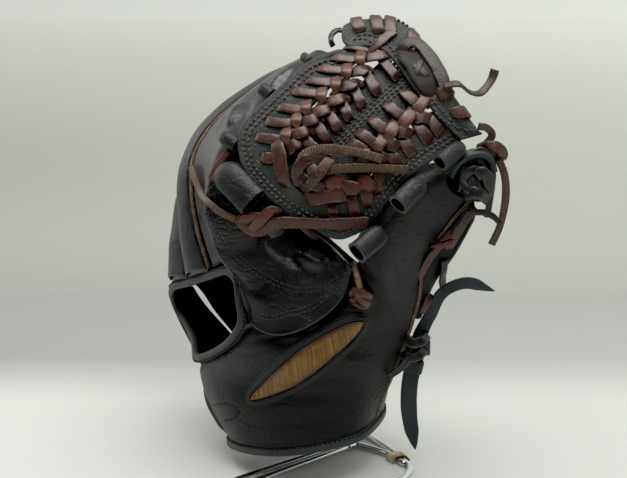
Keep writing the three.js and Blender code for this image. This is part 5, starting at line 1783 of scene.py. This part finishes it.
# Ends of lace that show between the tabs and at the crotch
PEEKING = [(212, 180, 1), (217, 172, 2.4), (224, 161, 2.6), (231, 153, 2.4), (235, 150, 1)]
CROTCH_STRIP = [(348, 254, 1), (346, 261, 2.2), (343, 268, 2.2), (341, 275, 1)]
small_strips = Soup()
lace(small_strips, on_panel(index, PEEKING), [-0.3, -0.9, 0.2], width=4.6, shade=0.9)
lace(small_strips, on_panel(thumb, CROTCH_STRIP), [0, -1, 0.2], width=4.2, shade=0.9)
small_strips.build("small_lace_strips", BROWN_LACE, "brown_lace")
PIN_FACING = [0.0, -1.0, 0.2]
one_lace(
    "thumb_pin_strip", PIN_LACE, "brown_lace", ["thumb_pin_lace"],
    [thumb.at(u, v, 3.2)[0] for u, v in PIN_RUN], PIN_FACING, width=4.2, thickness=2.8, shade=0.8,
)
pin_knot = Soup()
for marks, width, shade in PIN_KNOT:
    lace(pin_knot, on_panel(thumb, marks), PIN_FACING, width=width, thickness=2.4, shade=shade)
pin_knot.build("thumb_pin_knot", BROWN_LACE, "brown_lace", ["thumb_pin_lace"])


# The embroidered patch: a rounded lozenge of satin stitch within a raised black border
PATCH_FROM, PATCH_TO = np.array([253.0, 399.0]), np.array([362.0, 320.0])
PATCH_HALF = 13.0  # half its width, in pixels of the photograph
PATCH_RIB = 1.5  # from one band of thread to the next, in millimetres
PATCH_MARGIN, PATCH_SIDE = 10, 22  # how far past its ends and to its sides the leather is read
PATCH_SMOOTHING = 40  # how often the leather under it is smoothed
PATCH_SLANT = 0.55  # how much the bands lean over
PATCH_RIDGE, PATCH_UNEVEN = 0.42, 0.12  # a band's height, and how much it varies
PATCH_UNDER = 0.7  # its underside's height
PATCH_EDGE, PATCH_CROWN = 2.0, 1.5  # its height at the edge, and how much higher its middle is
PATCH_CORDS = [(2.6, 3.4, 2.8, 1.5), (5.6, 2.4, 1.6, 0.8)]  # offset in pixels, width, height, lift
PIXEL = 0.66  # one pixel of the photograph at the glove, in millimetres


def patch_base():
    """The thumb's leather under the patch, smoothed, as a function of pixels along and across it."""
    way = unit(PATCH_TO - PATCH_FROM)
    across = np.array([-way[1], way[0]])
    a = np.linspace(-PATCH_MARGIN, np.linalg.norm(PATCH_TO - PATCH_FROM) + PATCH_MARGIN, 112)
    b = np.linspace(-PATCH_SIDE, PATCH_SIDE, 34)
    marks = PATCH_FROM + a[:, None, None] * way + b[None, :, None] * across
    grid = np.array([[thumb.at(u, v)[0] for u, v in row] for row in marks])
    for _ in range(PATCH_SMOOTHING):
        around = grid[2:, 1:-1] + grid[:-2, 1:-1] + grid[1:-1, 2:] + grid[1:-1, :-2]
        grid[1:-1, 1:-1] = 0.5 * grid[1:-1, 1:-1] + 0.125 * around
    normals = unit(np.cross(np.gradient(grid, axis=0), np.gradient(grid, axis=1)))
    normals *= -np.sign(normals @ VIEW_AHEAD)[..., None]

    def between(table, along, side):
        i = np.clip((along - a[0]) / (a[1] - a[0]), 0, len(a) - 1.001)
        j = np.clip((side - b[0]) / (b[1] - b[0]), 0, len(b) - 1.001)
        i0, j0 = i.astype(int), j.astype(int)
        f, g = column(i - i0), column(j - j0)
        near = table[i0, j0] * (1 - g) + table[i0, j0 + 1] * g
        return near * (1 - f) + (table[i0 + 1, j0] * (1 - g) + table[i0 + 1, j0 + 1] * g) * f

    def place(along, side, lift):
        n = unit(between(normals, along, side))
        return between(grid, along, side) + n * column(lift), n

    return place


def patch_half(t):
    """Half the patch's width in pixels, at t along it."""
    return PATCH_HALF * np.maximum(1 - np.abs(2 * t - 1) ** 2.3, 0) ** 0.7


def emblem():
    """Bands of thread over a low crown, and two cords sewn round them."""
    place = patch_base()
    length = np.linalg.norm(PATCH_TO - PATCH_FROM)
    bands = int(length * PIXEL / PATCH_RIB)
    rows, cols = 8 * bands + 1, 15
    places = np.meshgrid(np.linspace(0.002, 0.998, rows), np.linspace(-1, 1, cols), indexing="ij")
    t, s = (g.ravel() for g in places)
    slant = PATCH_SLANT * s * patch_half(t) / length
    band = (t + slant) * bands
    which = np.clip(band.astype(int) + 3, 0, bands + 7)
    uneven = rng.uniform(-PATCH_UNEVEN, PATCH_UNEVEN, bands + 8)[which]
    rib = (PATCH_RIDGE + uneven) * np.sqrt(np.abs(np.sin(np.pi * band))) * (1 - s**6)
    crown = PATCH_EDGE + PATCH_CROWN * np.sqrt(np.maximum(1 - s * s, 0)) + rib
    points, normals = place(t * length, s * patch_half(t), crown)
    tone = rng.uniform(0.0, 1.0, bands + 8)[which]
    inner = points - normals * column(crown - PATCH_UNDER)
    n = len(points)
    ring_of = border(rows, cols)
    turned = np.roll(ring_of, -1)
    quads = np.concatenate([
        grid_quads(rows, cols, flip=True), grid_quads(rows, cols, n),
        np.stack([ring_of, turned, turned + n, ring_of + n], axis=1),
    ])
    soup = Soup()
    # Low in the grooves between bands and at the sides: the top mark by which the gold thread paints shade
    # there.
    groove = np.abs(np.sin(np.pi * band)) * (1 - s**6)
    marks = {"along": band * PATCH_RIB, "across": s, "shade": tone, "top": groove}
    soup.add(np.concatenate([points, inner]), quads, **{m: np.concatenate([v, v]) for m, v in marks.items()})
    soup.build("emblem_thread", GOLD, "gold_thread", ["thumb_emblem"])
    t = np.linspace(0, 1, 90)
    upper_side = np.stack([t * length, -patch_half(t)], axis=1)
    lower_side = np.stack([t * length, patch_half(t)], axis=1)[::-1]
    loop = resampled(np.concatenate([upper_side, lower_side[1:-1]]), count=150, closed=True)
    way = unit(np.roll(loop, -1, axis=0) - np.roll(loop, 1, axis=0))
    outwards = np.stack([way[:, 1], -way[:, 0]], axis=1)
    cordlet = Soup()
    for offset, width, height, lift in PATCH_CORDS:
        line, facing = place(*(loop + offset * outwards).T, np.full(len(loop), lift))
        twist = 1 + 0.05 * np.sin(np.arange(len(line)) * 2.1)
        section = strip_section(width, height, 12, 0.8)
        swept(cordlet, line, facing, section, closed=True, height=twist, shade=0.45)
    cordlet.build("emblem_border", BLACK_THREAD, "black_leather", ["thumb_emblem"])


emblem()

# The thumb's tip: a hood of leather, the black lace knotted in its mouth and the long brown lace
HOOD = [
    (450, 176, -64), (453, 169, -66), (458, 162, -68), (466, 156, -69), (475, 153, -68), (484, 154, -66),
    (491, 160, -62), (494, 170, -58),
]
HOOD_MIDDLE = np.array([85, -58, 200])
hood = Soup()
arch = smooth_line(seen(HOOD), STEP)
swept(hood, arch, arch - HOOD_MIDDLE, strip_section(5.5, 4.0), edge=3.0)
hood.build("thumb_hood_edge", BOUND, "black_leather", ["thumb_tip_knot"])

LONG_LACE = [
    [99, -65, 232], [104, -63, 231], [108, -59, 226], [104, -60, 221], [100, -61, 219],
    [109, -58, 215], [116, -55, 204], [118, -54, 189], [115, -54, 170], [110, -54, 158],
]
BLACK_LACE = [
    [93.3, -63, 208], [94, -69, 215], [101, -67, 218], [108, -62, 208], [108, -61, 193], [106, -60, 176],
]
BLACK_CURL = [[99, -59, 179], [104, -60, 179], [109, -60, 177], [115, -60, 172]]
TIP_KNOT = [
    (462, 190, -62), (464, 178, -66), (472, 170, -68), (481, 172, -66), (484, 182, -64), (478, 191, -66),
    (468, 190, -68), (463, 180, -66), (470, 166, -62), (478, 160, -62), (484, 168, -60),
]
TIP_FOLDS = [
    [(462, 176, -60), (470, 181, -61), (478, 183, -61), (487, 184, -60)],
    [(460, 186, -60), (468, 191, -61), (478, 193, -61), (487, 194, -60)],
    [(466, 166, -61), (472, 176, -66), (474, 188, -67), (470, 198, -62)],
    [(476, 176, -68), (482, 172, -70), (488, 178, -68), (489, 188, -66), (486, 196, -62)],
    [(464, 196, -64), (472, 192, -69), (480, 194, -69), (488, 200, -62)],
]
TIP_COIL = [
    (484, 150, -60), (488, 146, -64), (495, 146, -65), (501, 150, -63), (503, 156, -60), (497, 157, -58),
]
TIP_BACKING = [(473, 157, -54), (475, 170, -54), (475, 184, -52), (473, 201, -50)]
one_lace(
    "thumb_long_lace_strip", TAIL_LACE, "brown_lace", ["thumb_long_lace"], LONG_LACE, [0, -1, 0], "hanging",
    width=4.6, thickness=2.2, shade=0.4, edge=0.4,
)
one_lace(
    "thumb_lace_knot", BROWN_LACE, "brown_lace", ["thumb_long_lace"], seen(TIP_COIL), [0.1, -1, 0.3],
    width=6.4, thickness=2.6, shade=0.5,
)
one_lace(
    "thumb_black_lace_strip", BLACK_LACE_LEATHER, "black_lace", ["thumb_black_lace"], BLACK_LACE,
    [0, -1, 0], "hanging", width=4.0, shade=0.5,
)
one_lace(
    "thumb_tip_backing", INSIDE, "black_leather", [], seen(TIP_BACKING), [0, -1, 0],
    width=25, taper=(0.6, 0.4), shade=0.9,
)
tip_knot = Soup()
free_strap(tip_knot, BLACK_CURL, [0, -1, 0], width=4.0, shade=0.5)
free_strap(tip_knot, seen(TIP_KNOT), [0, -1, 0.1], width=5.0, thickness=2.2, shade=0.6)
for marks in TIP_FOLDS:
    free_strap(tip_knot, seen(marks), [0, -1, 0.2], width=7, thickness=2.2, shade=0.4)
tip_knot.build("thumb_tip_knot_strip", BLACK_LACE_LEATHER, "black_lace", ["thumb_tip_knot"])

# The lacing beside the thumb's welt. Columns: pixels and depths y, width, shade.
SIDE_STRANDS = [
    ([(475, 207, -52), (468, 216, -53), (461, 226, -52), (454, 238, -49), (450, 248, -45)], 6.0, 0.25),
    ([(463, 222, -48), (457, 231, -50), (451, 240, -50), (446, 248, -46)], 4.2, 0.7),
    ([(429.5, 247.5, -48), (436, 246, -53), (446, 244.5, -54), (453, 241, -51)], 3.4, 1.0),
    ([(452, 231, -50), (445, 240, -52), (437, 249, -51), (429, 259, -49), (423, 270, -46), (419, 280, -42)],
     5.0, 0.45),
    ([(431, 294, -38), (427, 303, -40), (422, 313, -38)], 5.0, 0.3),
]
for i, (marks, width, shade) in enumerate(SIDE_STRANDS):
    one_lace(
        "thumb_side_lacing_" + str(i + 1), RED_LACE if i else DARK_LACE, "brown_lace", ["thumb_side_lace"],
        seen(marks), [0.45, -1, 0.1], width=width, thickness=2.2, taper=(0.45, 0.45), shade=shade,
    )
SIDE_STRAP = [
    [82.6, -41.3, 145.5], [82.4, -39.5, 139], [82, -35, 132], [83, -31, 125], [84, -28, 119],
]
HEEL_LACE = [[49, -33.5, 68], [55.5, -37, 74], [62, -33, 80], [64.5, -30, 88]]
one_lace(
    "thumb_side_strip", BLACK_LACE_LEATHER, "black_lace", ["thumb_side_strap"], SIDE_STRAP, [0.6, -0.8, 0],
    width=5.4, shade=0.2,
)
one_lace(
    "heel_lace_strip", BLACK_LACE_LEATHER, "black_lace", ["heel_lace"], HEEL_LACE, [0.5, -0.8, 0],
    width=5.4, shade=0.2,
)

# The wide adjusting strap: its cut edges are nicked, its tips come to a blunt point
ADJUSTING_STRAP = [
    [115, -36, 125], [96, -41, 131], [82, -41, 125], [75.3, -34.6, 110], [69.4, -24.6, 93],
    [66.4, -24, 78], [63, -23, 60], [63, -21, 40], [67.5, -19, 14],
]
STRAP_WIDTHS = profile([0.2, 0.7, 0.68, 0.7, 0.75, 0.9, 1, 1, 1, 0.9, 0.34])
STRAP_STEP = 0.45  # from one point of its line to the next
NICK, NICK_DEPTH, NICK_UNEVEN = 2.2, 0.035, 0.01  # from one nick to the next, depth and unevenness
BLUNT = 4.0  # how far from a tip it reaches its width
KEEPER_AT = np.array([67.6, -24.0, 85.0])


def adjusting_strap():
    """The strap's two free ends, which meet inside the keeper."""
    whole = smooth_line(ADJUSTING_STRAP, STRAP_STEP)
    n = len(whole)
    t = np.linspace(0, 1, n)
    nicks = 1 - NICK_DEPTH * np.abs(np.sin(math.pi * t * STRAP_STEP * n / NICK)) ** 3
    nicks = nicks - NICK_UNEVEN * rng.random(n)
    blunt = np.clip(np.minimum(t, 1 - t) * n * STRAP_STEP / BLUNT, 0.12, 1) ** 0.5
    width = STRAP_WIDTHS(t) * nicks * blunt
    held = np.linalg.norm(whole - KEEPER_AT, axis=1).argmin()
    section = strip_section(STRAP_W, STRAP_T, 20)
    for end, part in (("upper", slice(held, None, -1)), ("lower", slice(held, None))):
        soup = Soup()
        swept(soup, whole[part], [0, -1, 0], section, width=width[part], edge=6.0)
        piece = soup.build("adjusting_strap_" + end, STRAP, "black_lace", ["adjusting_strap"])
        declare_lace(whole[part], STRAP_W)


adjusting_strap()
KEEPER_ROOM, KEEPER_SWELL = GAP + 1.2, 0.3  # from the strap to a loop's middle, and its swell
# The keeper's two loops. Columns: shift from its place, how much larger, width, slant.
KEEPER_LOOPS = [((0, 0, 0), 0, KEEPER_W, 0.0), ((-5.5, -1.0, -11.5), 0.8, 8.5, -0.25)]
STRAP_WRAPS = [
    [(399, 347, -27), (403, 354, -32), (411, 358, -34), (419, 355, -33), (424, 349, -28)],
    [(401, 329, -27), (405, 337, -33), (413, 343, -36), (422, 341, -34), (427, 335, -28)],
]


def keeper():
    """Two loops round the strap, and the wraps that hold them."""
    a, b = STRAP_W / 2 + KEEPER_ROOM, STRAP_T / 2 + KEEPER_ROOM
    c, d = a + KEEPER_SWELL, b + KEEPER_SWELL
    ring_rows = np.array([[a, b], [0, d], [-a, b], [-c, 0], [-a, -b], [0, -d], [a, -b], [c, 0]])
    soup = Soup()
    for shift, grow, width, tilt in KEEPER_LOOPS:
        rows = ring_rows * (1 + grow / a)
        lifted = rows[:, 0] * tilt
        points = np.stack([rows[:, 0], rows[:, 1], lifted], axis=1) + KEEPER_AT + np.array(shift)
        line = smooth_line(points, 0.6, closed=True)
        section = strip_section(width, KEEPER_T, 18)
        swept(soup, line, line - line.mean(axis=0), section, closed=True, edge=6.0)
    soup.build("strap_keeper_ring", STRAP, "black_lace", ["strap_keeper"])
    wraps = Soup()
    for marks in STRAP_WRAPS:
        free_strap(wraps, seen(marks), [0.1, -1, 0.2], width=6.6, thickness=2.4, shade=0.5)
    wraps.build("strap_wraps", BLACK_LACE_LEATHER, "black_lace")


keeper()
STRAP_LACE = [(234, 434, -4), (222, 424, -1), (214, 411, 1), (209, 399, 2), (207, 386, 3), (207, 378, 6)]
one_lace(
    "wrist_lace_strip", BLACK_LACE_LEATHER, "black_lace", ["wrist_strap_lace"], seen(STRAP_LACE),
    [-0.5, -0.85, 0.1], width=6.0, shade=0.7,
)

# The stand: three hairpin feet and a hoop up into the hand, all of one wire
FEET = {
    "left": [(26, 28), (-14, -10), (-50, -46), (-63, -62), (-60, -67), (-53, -63), (-10, -18), (30, 24)],
    "right": [(20, 56), (34, 48), (50, 20), (62, -14), (64, -24), (60, -38), (52, -50)],
    "right_brace": [(14, 36), (34, 20), (50, 5), (61, -16)],
    "rear": [(26, 16), (-4, 42), (-38, 70), (-33, 77), (-24, 72), (14, 50), (38, 43)],
}
HOOP = [
    [24, 22, FLOOR], [23, 22, 20], [20, 12, 50], [14, 0, 84], [7, -4, 112], [-1, 5, 125],
    [0.2, 23.2, 125.6], [10, 28, 98], [14, 26, 52], [20, 28, 20], [21, 30, FLOOR],
]
stand = Soup()
for foot in FEET.values():
    rows = [[x, y, FLOOR] for x, y in foot]
    swept(stand, smooth_line(rows, 1.2), [0, 0, 1], round_section(WIRE_R))
swept(stand, smooth_line(HOOP, 1.2), [1, 0.1, 0], round_section(WIRE_R))
stand.build("stand_wire", CHROME, "chrome", ["wire_stand"])
TAPE_W, TAPE_T = 9.0, 0.5
TAPE = [
    [51.6, -7, 0.6], [52, -6.8, 4], [53.6, -6, 5.1], [60, -3.4, 5.1], [61.9, -2.7, 4], [62.3, -2.5, 0.6],
]
one_lace(
    "foot_tape", TAPE_PAPER, "tape", ["stand_tape"], TAPE, [0, 0, 1],
    width=TAPE_W, thickness=TAPE_T, shade=0.5, wander=0.03,
)


# Floor, light and camera

FLOOR_HALF = 60.0  # half the floor's width, in metres
DIM_SIDE, BRIGHT_SIDE = colour(66, 67, 66), colour(218, 221, 213)
BRIGHT_FROM = 0.35  # how far back and up the light is brightest
UP_SHARE = 0.55  # how much height counts next to depth
RIGHT_SHARE = 0.4  # how much brighter it is on the right
BLACK_LEVEL = (0.008, 0.008, 0.008)
# Soft lights, in metres and watts. Columns: place, aim, width, height, power.
LAMPS = {
    "overhead": ((0.0, -0.3, 1.05), (0, 0, 0.1), 0.9, 0.7, 11.5),
    "left_rim": ((-1.1, 0.5, 0.75), (0, 0, 0.18), 0.6, 0.8, 3.5),
    "front": ((0.35, -1.2, 1.0), (0, 0, 0.12), 0.45, 0.45, 1.5),
}


def studio():
    """A flat floor, whose material paints the table and, further back, the wall."""
    mesh = bpy.data.meshes.new("floor")
    corners = [(-1, -1), (1, -1), (1, 1), (-1, 1)]
    mesh.from_pydata([(FLOOR_HALF * x, FLOOR_HALF * y, 0) for x, y in corners], [], [(0, 1, 2, 3)])
    mesh.materials.append(studio_floor())
    floor = bpy.data.objects.new("floor", mesh)
    bpy.context.collection.objects.link(floor)


def room():
    """The light round the glove: bright behind and above it, dim on the side that faces the viewer."""
    world = bpy.data.worlds.new("studio")
    world.use_nodes = True
    tree = world.node_tree
    place = new_node(tree, "SeparateXYZ", {0: new_node(tree, "TexCoord").outputs["Generated"]}).outputs
    back = {0: place["Z"], 1: UP_SHARE, 2: place["Y"]}
    share = new_node(tree, "Math", back, operation="MULTIPLY_ADD").outputs[0]
    ramp = new_node(tree, "ValToRGB", {"Fac": share})
    ramp.color_ramp.elements[0].color = DIM_SIDE
    ramp.color_ramp.elements[1].color = BRIGHT_SIDE
    ramp.color_ramp.elements[1].position = BRIGHT_FROM
    right = {0: place["X"], 1: RIGHT_SHARE, 2: 1.0}
    brighter = new_node(tree, "Math", right, operation="MULTIPLY_ADD")
    background = tree.nodes["Background"].inputs
    tree.links.new(ramp.outputs["Color"], background["Color"])
    tree.links.new(brighter.outputs[0], background["Strength"])
    bpy.context.scene.world = world
    view = bpy.context.scene.view_settings
    view.view_transform = "Standard"
    view.use_curve_mapping = True
    view.curve_mapping.black_level = BLACK_LEVEL
    view.curve_mapping.update()


def softbox(name, place, target, width, height, power):
    """A soft rectangular lamp that faces its target."""
    light = bpy.data.lights.new(name, "AREA")
    light.shape = "RECTANGLE"
    light.size, light.size_y, light.energy = width, height, power
    lamp = bpy.data.objects.new(name, light)
    lamp.location = place
    lamp.rotation_euler = (Vector(target) - Vector(place)).to_track_quat("-Z", "Y").to_euler()
    bpy.context.collection.objects.link(lamp)


studio()
room()
for name, lamp in LAMPS.items():
    softbox(name, *lamp)

camera_data = bpy.data.cameras.new("camera")
camera_data.sensor_width = SENSOR
camera_data.lens = SENSOR * FOCAL_PX / PHOTO_W
camera = bpy.data.objects.new("camera", camera_data)
camera.location = (EYE - MIDDLE) * MM
camera.rotation_euler = Vector(VIEW_AHEAD).to_track_quat("-Z", "Y").to_euler()
bpy.context.collection.objects.link(camera)
bpy.context.scene.camera = camera
